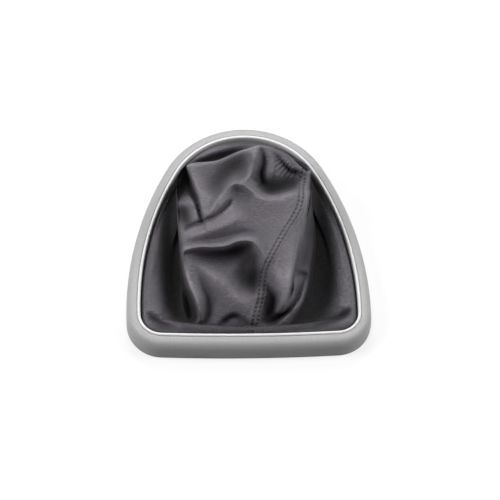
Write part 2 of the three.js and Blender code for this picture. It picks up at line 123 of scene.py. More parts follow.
def steps_between(points: np.ndarray, axis: int) -> np.ndarray:
    """Distances run along one axis of a grid of points, from 0 at its start.

    Args:
        points: grid of points.
        axis: axis along which to measure.

    Returns:
        The distance run to each point.
    """
    gaps = np.linalg.norm(np.diff(points, axis=axis), axis=-1)
    run = np.cumsum(gaps, axis=axis)
    start = np.zeros_like(np.take(run, [0], axis=axis))
    return np.concatenate([start, run], axis=axis)


def grid_normals(points: np.ndarray) -> np.ndarray:
    """Normals of a grid whose columns run anticlockwise and whose rows run up: the cross product of the steps
    across and the steps up."""
    return unit(np.cross(np.gradient(points, axis=1), np.gradient(points, axis=0)))


def blurred(values: np.ndarray, passes: int) -> np.ndarray:
    """Values of a grid averaged with their neighbours: a quarter, a half and a quarter along each axis.

    Args:
        values: values by row and column.
        passes: how often to average.

    Returns:
        The averaged values.
    """
    for _ in range(passes):
        for axis in (0, 1):
            ends = [(1, 1) if axis == side else (0, 0) for side in (0, 1)]
            wide = np.moveaxis(np.pad(values, ends, mode="edge"), axis, 0)
            values = np.moveaxis(0.25 * wide[:-2] + 0.5 * wide[1:-1] + 0.25 * wide[2:], 0, axis)
    return values


def grid_quads(rows: int, columns: int, first: int, flipped: bool) -> np.ndarray:
    """Quads of a grid whose points are numbered row by row.

    Args:
        rows: number of points up the grid.
        columns: number of points across it.
        first: number of the grid's first point.
        flipped: whether the faces turn the other way.

    Returns:
        One row of four point numbers for each quad.
    """
    start = first + (np.arange(rows - 1)[:, None] * columns + np.arange(columns - 1)[None, :]).ravel()
    quads = np.stack([start, start + 1, start + columns + 1, start + columns], axis=1)
    return quads[:, ::-1] if flipped else quads


def edge_faces(fine: np.ndarray, coarse: np.ndarray, step: int) -> list[list[int]]:
    """Faces that close an edge between a fine line of points and a coarse one.

    Args:
        fine: point numbers of the fine line.
        coarse: point numbers of the coarse line, one for each step of the fine one.
        step: stretches of the fine line for each stretch of the coarse one.

    Returns:
        Point numbers of each face.
    """
    ends = zip(range(0, len(fine) - 1, step), coarse[:-1], coarse[1:])
    return [[*fine[start : start + step + 1].tolist(), int(last), int(first)] for start, first, last in ends]


def make_piece(
    name: str, points: np.ndarray, faces: list[list[int]], sharp: float | None = None
) -> bpy.types.Object:
    """A smooth-shaded mesh that rides on the part's one body.

    Args:
        name: name of the piece.
        points: its points in millimetres, one row each.
        faces: point numbers of each face.
        sharp: angle in degrees past which an edge stays sharp, or None for no sharp edge.

    Returns:
        The new object, at the origin.
    """
    mesh = bpy.data.meshes.new(name)
    mesh.from_pydata((points * MM).tolist(), [], faces)
    mesh.polygons.foreach_set("use_smooth", np.ones(len(mesh.polygons), dtype=bool))
    if sharp is not None:
        mesh.set_sharp_from_angle(angle=math.radians(sharp))
    mesh.update()
    piece = bpy.data.objects.new(name, mesh)
    bpy.context.scene.collection.objects.link(piece)
    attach(piece, "root")
    LOG.info("%s: %d faces", name, len(faces))
    return piece


def paint_points(piece: bpy.types.Object, name: str, values: np.ndarray) -> None:
    """Stores one number for each point of a piece under a name that its material reads."""
    layer = piece.data.attributes.new(name, "FLOAT", "POINT")
    layer.data.foreach_set("value", values.astype(np.float32).ravel())


def opaque(colour: Triple) -> tuple[float, float, float, float]:
    """A colour with full alpha, as colour sockets want it."""
    return (*colour, 1.0)


class NodeSketch:
    """Short way to lay out a node tree: add a node, set its sockets, and link them."""

    MIX_COLOURS = (6, 7)  # numbers of the Mix node's two colour inputs
    MIX_RESULT = 2  # and of its colour output

    def __init__(self, tree: bpy.types.NodeTree) -> None:
        """Keeps the tree to which nodes are added."""
        self.tree = tree

    def add(self, kind: str, settings: dict | None = None, **sockets: object) -> bpy.types.Node:
        """Adds a node.

        Args:
            kind: node type, without the ShaderNode prefix unless it has another one.
            settings: the node's own properties.
            sockets: values or output sockets for its inputs; an underscore in a name stands for a space.

        Returns:
            The new node.
        """
        node = self.tree.nodes.new(kind if kind.startswith("Node") else f"ShaderNode{kind}")
        for name, value in (settings or {}).items():
            setattr(node, name, value)
        for name, value in sockets.items():
            key = int(name[1:]) if name[1:].isdigit() and name[0] == "i" else name.replace("_", " ")
            self.feed(node.inputs[key], value)
        return node

    def feed(self, socket: bpy.types.NodeSocket, value: object) -> None:
        """Links an output to a socket, or sets the socket's value."""
        if isinstance(value, bpy.types.NodeSocket):
            self.tree.links.new(value, socket)
        else:
            socket.default_value = value

    def math(self, operation: str, first: object, second: object = 0.0, third: object = 0.0) -> object:
        """Output of a Math node."""
        node = self.add("Math", {"operation": operation}, i0=first, i1=second, i2=third)
        return node.outputs[0]

    def spread(self, value: object, span: Pair, result: Pair) -> object:
        """Value mapped smoothly and clamped from the two ends of span to those of result."""
        node = self.add(
            "MapRange",
            {"interpolation_type": "SMOOTHSTEP"},
            Value=value,
            From_Min=span[0],
            From_Max=span[1],
            To_Min=result[0],
            To_Max=result[1],
        )
        return node.outputs["Result"]

    def mix(self, factor: object, first: object, second: object) -> object:
        """Colour mixed between two colours."""
        node = self.add("Mix", {"data_type": "RGBA"})
        self.feed(node.inputs["Factor"], factor)
        for number, colour in zip(self.MIX_COLOURS, (first, second)):
            self.feed(node.inputs[number], colour)
        return node.outputs[self.MIX_RESULT]

    def place(self) -> object:
        """Output of the Object coordinates."""
        return self.add("TexCoord").outputs["Object"]


def new_material(name: str) -> tuple[bpy.types.Material, NodeSketch, bpy.types.Node]:
    """An empty node-based material.

    Args:
        name: name of the material.

    Returns:
        The material, a sketch of its tree, and its output node.
    """
    material = bpy.data.materials.new(name)
    material.use_nodes = True
    material.node_tree.nodes.clear()
    sketch = NodeSketch(material.node_tree)
    return material, sketch, sketch.add("OutputMaterial")


class GrainGroup:
    """Node group for the skin of leather and of moulded plastic: rounded cells between fine creases, and
    larger wrinkles. It puts out a height and a mask of the creases. Scales are cells or waves for each metre,
    and the cells' edges drift by a noise."""

    NAME = "skin_grain"
    INPUTS = (("Cell Scale", 1000.0), ("Wrinkle Scale", 160.0), ("Wrinkle Share", 0.4))
    DRIFT_SCALE = 300.0
    DRIFT = 0.0009
    DETAIL = 2.0
    CUSHION_SPAN = (0.0, 0.4)

    @classmethod
    def get(cls) -> bpy.types.NodeTree:
        """The group, built on its first use."""
        return bpy.data.node_groups.get(cls.NAME) or cls.build()

    @classmethod
    def build(cls) -> bpy.types.NodeTree:
        """Builds the group."""
        group = bpy.data.node_groups.new(cls.NAME, "ShaderNodeTree")
        for name, value in cls.INPUTS:
            socket = group.interface.new_socket(name, in_out="INPUT", socket_type="NodeSocketFloat")
            socket.default_value = value
        stretch = group.interface.new_socket("Stretch", in_out="INPUT", socket_type="NodeSocketVector")
        stretch.default_value = (1.0, 1.0, 1.0)
        for name in ("Height", "Crease"):
            group.interface.new_socket(name, in_out="OUTPUT", socket_type="NodeSocketFloat")
        sketch = NodeSketch(group)
        given = sketch.add("NodeGroupInput")
        place = sketch.add(
            "VectorMath",
            {"operation": "MULTIPLY"},
            i0=sketch.place(),
            i1=given.outputs["Stretch"],
        ).outputs[0]
        drift = sketch.add("TexNoise", Vector=place, Scale=cls.DRIFT_SCALE, Detail=cls.DETAIL)
        bent = sketch.add(
            "VectorMath",
            {"operation": "MULTIPLY_ADD"},
            i0=drift.outputs["Color"],
            i1=(cls.DRIFT,) * 3,
            i2=place,
        )
        cells = sketch.add(
            "TexVoronoi",
            {"feature": "DISTANCE_TO_EDGE"},
            Vector=bent.outputs[0],
            Scale=given.outputs["Cell Scale"],
        )
        cushion = sketch.spread(cells.outputs["Distance"], cls.CUSHION_SPAN, (0.0, 1.0))
        scale = given.outputs["Wrinkle Scale"]
        wrinkle = sketch.add("TexNoise", Vector=place, Scale=scale, Detail=cls.DETAIL)
        share = sketch.math("MULTIPLY", wrinkle.outputs["Fac"], given.outputs["Wrinkle Share"])
        height = sketch.math("ADD", cushion, share)
        crease = sketch.math("SUBTRACT", 1.0, cushion)
        sketch.add("NodeGroupOutput", Height=height, Crease=crease)
        return group

    @classmethod
    def placed(cls, sketch: NodeSketch, settings: dict[str, object]) -> bpy.types.Node:
        """Puts the group into a material.

        Args:
            sketch: the material's tree.
            settings: values of the group's inputs by name.

        Returns:
            The group's node.
        """
        grain = sketch.add("Group", {"node_tree": cls.get()})
        for name, value in settings.items():
            grain.inputs[name].default_value = value
        return grain


@dataclass(frozen=True)
class LeatherFinish:
    """Black coated leather with a fine pebbled grain and a soft satin shine. Its colour is painted lighter on
    the crests as a painted highlight and left dark in the hollows as painted shade.
    """

    base: Triple = (0.006, 0.0055, 0.007)
    # painted highlight: the colour of the crests, far lighter than the black base
    painted_lit: Triple = (0.330, 0.302, 0.348)
    roughness: Pair = (0.80, 0.40)
    roughness_painted_light: Pair = (0.04, 0.38)
    crease_roughness: float = 0.06
    specular: float = 0.45
    polish: float = 0.5
    polish_painted_light: Pair = (0.12, 0.65)
    polish_roughness: float = 0.5
    sheen: float = 0.04
    sheen_roughness: float = 0.45
    cell_scale: float = 640.0
    ripple_scale: float = 400.0
    ripple_share: float = 3.0
    ripple_span: Pair = (1.2, 2.9)
    ripple_tones: Pair = (0.72, 1.12)
    cloud_scale: float = 45.0
    cloud_detail: float = 3.0
    cloud_span: Pair = (0.3, 0.7)
    cloud_tones: Pair = (0.88, 1.08)
    grain_stretch: Triple = (1.0, 2.4, 2.4)
    grain_depth: float = 0.00020

    def material(self) -> bpy.types.Material:
        """Builds the material: the painted light map turns the base colour to the painted lit one, a painted
        highlight on the crests over painted shade in the hollows, less so in clouds and ripples.
        """
        material, sketch, output = new_material("boot_leather")
        grain = GrainGroup.placed(
            sketch,
            {
                "Cell Scale": self.cell_scale,
                "Wrinkle Scale": self.ripple_scale,
                "Wrinkle Share": self.ripple_share,
                "Stretch": self.grain_stretch,
            },
        )
        place = sketch.place()
        cloud = sketch.add("TexNoise", Vector=place, Scale=self.cloud_scale, Detail=self.cloud_detail)
        patchy = sketch.spread(cloud.outputs["Fac"], self.cloud_span, self.cloud_tones)
        rippled = sketch.spread(grain.outputs["Height"], self.ripple_span, self.ripple_tones)
        # painted light: lighter as a painted highlight on the crests, darker as painted shade in hollows, low
        # places and stitch holes
        painted_light = sketch.add("Attribute", {"attribute_name": "painted_light"}).outputs["Fac"]
        tone = sketch.math("MULTIPLY", sketch.math("MULTIPLY", painted_light, patchy), rippled)
        colour = sketch.mix(tone, opaque(self.base), opaque(self.painted_lit))
        dull = sketch.spread(painted_light, self.roughness_painted_light, self.roughness)
        rough = sketch.math("MULTIPLY_ADD", grain.outputs["Crease"], self.crease_roughness, dull)
        relief = sketch.add("Bump", Strength=1.0, Distance=self.grain_depth, Height=grain.outputs["Height"])
        shader = sketch.add(
            "BsdfPrincipled",
            Base_Color=colour,
            Roughness=rough,
            Normal=relief.outputs["Normal"],
            Specular_IOR_Level=self.specular,
            Coat_Weight=sketch.spread(painted_light, self.polish_painted_light, (0.0, self.polish)),
            Coat_Roughness=self.polish_roughness,
            Sheen_Weight=self.sheen,
            Sheen_Roughness=self.sheen_roughness,
        )
        sketch.feed(output.inputs["Surface"], shader.outputs[0])
        return material


@dataclass(frozen=True)
class PaintFinish:
    """Satin silver paint on plastic, with fine metal flake, and a glossier lip whose colour is painted
    lighter as a painted highlight.
    """

    face: Triple = (0.40, 0.40, 0.40)
    # painted highlight: the lip's colour, twice as light as the face
    lip: Triple = (0.80, 0.80, 0.80)
    flake: Triple = (0.75, 0.75, 0.74)
    flake_share: float = 0.16
    flake_scale: float = 2600.0
    flake_strength: float = 0.25
    flake_depth: float = 0.00003
    metallic: float = 0.0
    specular: float = 0.3
    roughness: Pair = (0.42, 0.52)
    lip_gloss: float = 0.18
    cloud_scale: float = 90.0
    cloud_detail: float = 3.0
    cloud_span: Pair = (0.3, 0.7)

    def material(self) -> bpy.types.Material:
        """Builds the material: flakes lighten the face, clouds vary its gloss, and the lip is glossier and
        painted lighter as a painted highlight.
        """
        material, sketch, output = new_material("frame_paint")
        place = sketch.place()
        flakes = sketch.add("TexVoronoi", {"feature": "F1"}, Vector=place, Scale=self.flake_scale)
        cloud = sketch.add("TexNoise", Vector=place, Scale=self.cloud_scale, Detail=self.cloud_detail)
        glint = sketch.add("SeparateColor", Color=flakes.outputs["Color"]).outputs[0]
        speck = sketch.spread(glint, (0.0, 1.0), (0.0, self.flake_share))
        light = sketch.mix(speck, opaque(self.face), opaque(self.flake))
        on_lip = sketch.add("Attribute", {"attribute_name": "lip"}).outputs["Fac"]
        # painted highlight along the lip
        colour = sketch.mix(on_lip, light, opaque(self.lip))
        rough = sketch.spread(cloud.outputs["Fac"], self.cloud_span, self.roughness)
        smooth = sketch.math("MULTIPLY_ADD", on_lip, -self.lip_gloss, rough)
        relief = sketch.add("Bump", Strength=self.flake_strength, Distance=self.flake_depth, Height=glint)
        shader = sketch.add(
            "BsdfPrincipled",
            Base_Color=colour,
            Roughness=smooth,
            Metallic=self.metallic,
            Specular_IOR_Level=self.specular,
            Normal=relief.outputs["Normal"],
        )
        sketch.feed(output.inputs["Surface"], shader.outputs[0])
        return material


@dataclass(frozen=True)
class PlasticFinish:
    """Matt black moulded plastic with a fine spark-eroded skin."""

    base: Triple = (0.012, 0.012, 0.013)
    crease: Triple = (0.02, 0.02, 0.021)
    roughness: Pair = (0.5, 0.62)
    cell_scale: float = 2200.0
    wrinkle_scale: float = 700.0
    skin_strength: float = 0.6
    skin_depth: float = 0.00003

    def material(self) -> bpy.types.Material:
        """Builds the material."""
        material, sketch, output = new_material("retainer_plastic")
        scales = {"Cell Scale": self.cell_scale, "Wrinkle Scale": self.wrinkle_scale}
        grain = GrainGroup.placed(sketch, scales)
        rough = sketch.spread(grain.outputs["Crease"], (0.0, 1.0), self.roughness)
        height = grain.outputs["Height"]
        relief = sketch.add("Bump", Strength=self.skin_strength, Distance=self.skin_depth, Height=height)
        tone = sketch.mix(grain.outputs["Crease"], opaque(self.base), opaque(self.crease))
        normal = relief.outputs["Normal"]
        shader = sketch.add("BsdfPrincipled", Base_Color=tone, Roughness=rough, Normal=normal)
        sketch.feed(output.inputs["Surface"], shader.outputs[0])
        return material


@dataclass(frozen=True)
class ThreadFinish:
    """Black bonded thread: two plies twisted round each other."""

    base: Triple = (0.060, 0.056, 0.063)
    # painted highlight on the crowns of the plies
    crown_highlight: Triple = (0.14, 0.132, 0.145)
    roughness: Pair = (0.55, 0.7)
    ply_scale: float = 900.0
    ply_distortion: float = 1.5
    ply_strength: float = 0.6
    ply_depth: float = 0.00006

    def material(self) -> bpy.types.Material:
        """Builds the material: diagonal waves are the plies, painted lighter on their crowns as a painted
        highlight.
        """
        material, sketch, output = new_material("seam_thread")
        waves = sketch.add(
            "TexWave",
            {"bands_direction": "DIAGONAL"},
            Vector=sketch.place(),
            Scale=self.ply_scale,
            Distortion=self.ply_distortion,
        )
        ply = waves.outputs["Fac"]
        tone = sketch.mix(ply, opaque(self.base), opaque(self.crown_highlight))
        relief = sketch.add("Bump", Strength=self.ply_strength, Distance=self.ply_depth, Height=ply)
        rough = sketch.spread(ply, (0.0, 1.0), self.roughness)
        normal = relief.outputs["Normal"]
        shader = sketch.add("BsdfPrincipled", Base_Color=tone, Roughness=rough, Normal=normal)
        sketch.feed(output.inputs["Surface"], shader.outputs[0])
        return material


@dataclass(frozen=True)
class Outline:
    """The opening's outline at the crest of the lip: on each side, an arc for the near edge, the near corner,
    the side and the nose."""

    width: float
    near_edge_radius: float = 1150.0
    near_corner_radius: float = 14.5
    side_radius: float = 206.0
    nose_radius: float = 50.5
    side_start_turn: float = math.radians(88.0)

    def arcs(self) -> list[Triple]:
        """The arcs from the middle of the near edge to the middle of the nose.

        Returns:
            Radius, first turn and last turn of each arc.
        """
        half = self.width / 2
        step = (self.side_radius - self.near_corner_radius) * math.sin(self.side_start_turn)
        corner = math.asin(
            (half - self.side_radius + step) / (self.near_edge_radius - self.near_corner_radius)
        )
        nose = math.pi - math.asin((self.side_radius - half) / (self.side_radius - self.nose_radius))
        return [
            (self.near_edge_radius, 0.0, corner),
            (self.near_corner_radius, corner, self.side_start_turn),
            (self.side_radius, self.side_start_turn, nose),
            (self.nose_radius, nose, math.pi),
        ]

    def half_perimeter(self) -> float:
        """Length of one side of the outline."""
        return sum(radius * (last - first) for radius, first, last in self.arcs())

    def half_length(self) -> float:
        """Half of the opening's length from near edge to nose."""
        return sum(radius * (math.cos(first) - math.cos(last)) for radius, first, last in self.arcs()) / 2

    def at(self, share: np.ndarray) -> tuple[np.ndarray, np.ndarray]:
        """Points and outward normals of the outline. Each arc is its centre plus its radius times the normal,
        and the next arc starts where the last one ends.

        Args:
            share: shares of the way round, anticlockwise from the middle of the near edge.

        Returns:
            Points and normals, both as x and y.
        """
        turned = share - np.floor(share)
        mirrored = turned > 0.5
        along = np.where(mirrored, 1.0 - turned, turned) * 2 * self.half_perimeter()
        turn = np.zeros_like(along)
        place = np.zeros(along.shape + (2,))
        corner = np.array([0.0, -self.half_length()])
        start = 0.0
        for radius, first, last in self.arcs():
            centre = corner + radius * np.array([-math.sin(first), math.cos(first)])
            here = along >= start
            turn = np.where(here, first + (along - start) / radius, turn)
            normal = np.stack([np.sin(turn), -np.cos(turn)], axis=-1)
            place = np.where(here[..., None], centre + radius * normal, place)
            corner = centre + radius * np.array([math.sin(last), -math.cos(last)])
            start += radius * (last - first)
        side = np.where(mirrored, -1.0, 1.0)
        normal = np.stack([side * np.sin(turn), -np.cos(turn)], axis=-1)
        place[..., 0] *= side
        return place, normal


@dataclass(frozen=True)
class View:
    """The photograph's view: where it looks from, and the plane that faces it."""

    elevation: float = math.radians(60.0)
    turn: float = math.radians(5.0)
    roll: float = math.radians(3.8)
    distance: float = 1200.0
    centre: Triple = (0.0, 0.0, 8.0)

    def axes(self) -> tuple[np.ndarray, np.ndarray, np.ndarray]:
        """Directions to the right, up and towards the viewer, each of length 1."""
        back = np.array(
            [
                -math.sin(self.turn) * math.cos(self.elevation),
                -math.cos(self.turn) * math.cos(self.elevation),
                math.sin(self.elevation),
            ]
        )
        level_right = np.array([math.cos(self.turn), -math.sin(self.turn), 0.0])
        level_up = np.cross(back, level_right)
        right = level_right * math.cos(self.roll) + level_up * math.sin(self.roll)
        up = level_up * math.cos(self.roll) - level_right * math.sin(self.roll)
        return right, up, back

    def seen(self, points: np.ndarray) -> tuple[np.ndarray, np.ndarray]:
        """Where points appear on the plane through the centre that faces the viewer.

        Args:
            points: points in millimetres.

        Returns:
            Distances to the right and up on that plane.
        """
        right, up, back = self.axes()
        offset = points - np.array(self.centre)
        nearer = self.distance / (self.distance - offset @ back)
        return (offset @ right) * nearer, (offset @ up) * nearer


@dataclass(frozen=True)
class Drag:
    """A pull on the boot as it is seen, which fades by exp(-(distance / reach) squared). Centre is right and
    up as shares of the opening's half width, and shift is right and up in millimetres."""

    name: str
    centre: Pair
    reach: float
    shift: Pair

    def shares(self, across: np.ndarray, along: np.ndarray, scale: float) -> np.ndarray:
        """How much of the shift each seen place takes.

        Args:
            across: distances to the right on the seen plane.
            along: distances up it.
            scale: millimetres to which the centre refers.

        Returns:
            Shares from 0 to 1.
        """
        offset = np.hypot(across - self.centre[0] * scale, along - self.centre[1] * scale)
        return bump(0.0, self.reach, offset)


DRAGS = (
    Drag("top edge between the corner and the peak", (-0.27, 0.76), 13.0, (0.0, -4.5)),
    Drag("peak", (0.11, 0.84), 5.0, (0.0, 0.8)),
)


@dataclass(frozen=True)
class Fold:
    """A fold of the leather, laid out as it is seen. Left and right are the distances in millimetres over
    which it fades on each side of its path. A path point is right, up and height: right and up as shares of
    the opening's half width, height in millimetres towards the viewer. With a pitch, the fold is a row of
    small pleats across the path, that many millimetres apart."""

    name: str
    left: float
    right: float
    roundness: float
    path: tuple[Triple, ...]
    pitch: float = 0.0

    def line(self, scale: float, steps: int = 6) -> np.ndarray:
        """The path as a fine polyline.

        Args:
            scale: millimetres to which the shares refer.
            steps: pieces of the polyline for each stretch of the path.

        Returns:
            Points as right, up and height in millimetres.
        """
        marks = np.array(self.path, dtype=float)
        padded = np.vstack([marks[:1], marks, marks[-1:]])
        place = np.arange((len(marks) - 1) * steps + 1) / steps
        first = np.minimum(place.astype(int), len(marks) - 2)
        share = (place - first)[:, None]
        line = curve_through(padded[first], padded[first + 1], padded[first + 2], padded[first + 3], share)
        return line * np.array([scale, scale, 1.0])

    def height(self, across: np.ndarray, along: np.ndarray, scale: float) -> np.ndarray:
        """Height of the fold at seen places. It is the height of the nearest point of the path, faded by
        exp(r - sqrt(q*q + r*r)), with q the distance over the reach of that side and r the crest's roundness.

        Args:
            across: distances to the right on the seen plane.
            along: distances up it.
            scale: millimetres to which the path's shares refer.

        Returns:
            Heights towards the viewer.
        """
        line = self.line(scale)
        span = FADED_REACHES * max(self.left, self.right)
        low = line.min(axis=0) - span
        high = line.max(axis=0) + span
        near = (across > low[0]) & (across < high[0]) & (along > low[1]) & (along < high[1])
        x, y = across[near], along[near]
        best = np.full(x.shape, np.inf)
        side = np.ones(x.shape)
        crest = np.zeros(x.shape)
        run = np.zeros(x.shape)
        start = 0.0
        for (ax, ay, ah), (bx, by, bh) in zip(line[:-1], line[1:]):
            dx, dy = bx - ax, by - ay
            length = math.hypot(dx, dy)
            share = np.clip(((x - ax) * dx + (y - ay) * dy) / (dx * dx + dy * dy), 0.0, 1.0)
            from_x = x - ax - dx * share
            from_y = y - ay - dy * share
            distance = np.hypot(from_x, from_y)
            nearer = distance < best
            best = np.where(nearer, distance, best)
            side = np.where(nearer, dx * from_y - dy * from_x, side)
            crest = np.where(nearer, ah + (bh - ah) * share, crest)
            run = np.where(nearer, start + share * length, run)
            start += length
        if self.pitch:
            crest = crest * np.cos(2 * math.pi * run / self.pitch)
        reach = best / np.where(side > 0, self.left, self.right)
        found = np.zeros(across.shape)
        found[near] = crest * np.exp(self.roundness - np.hypot(reach, self.roundness))
        return found


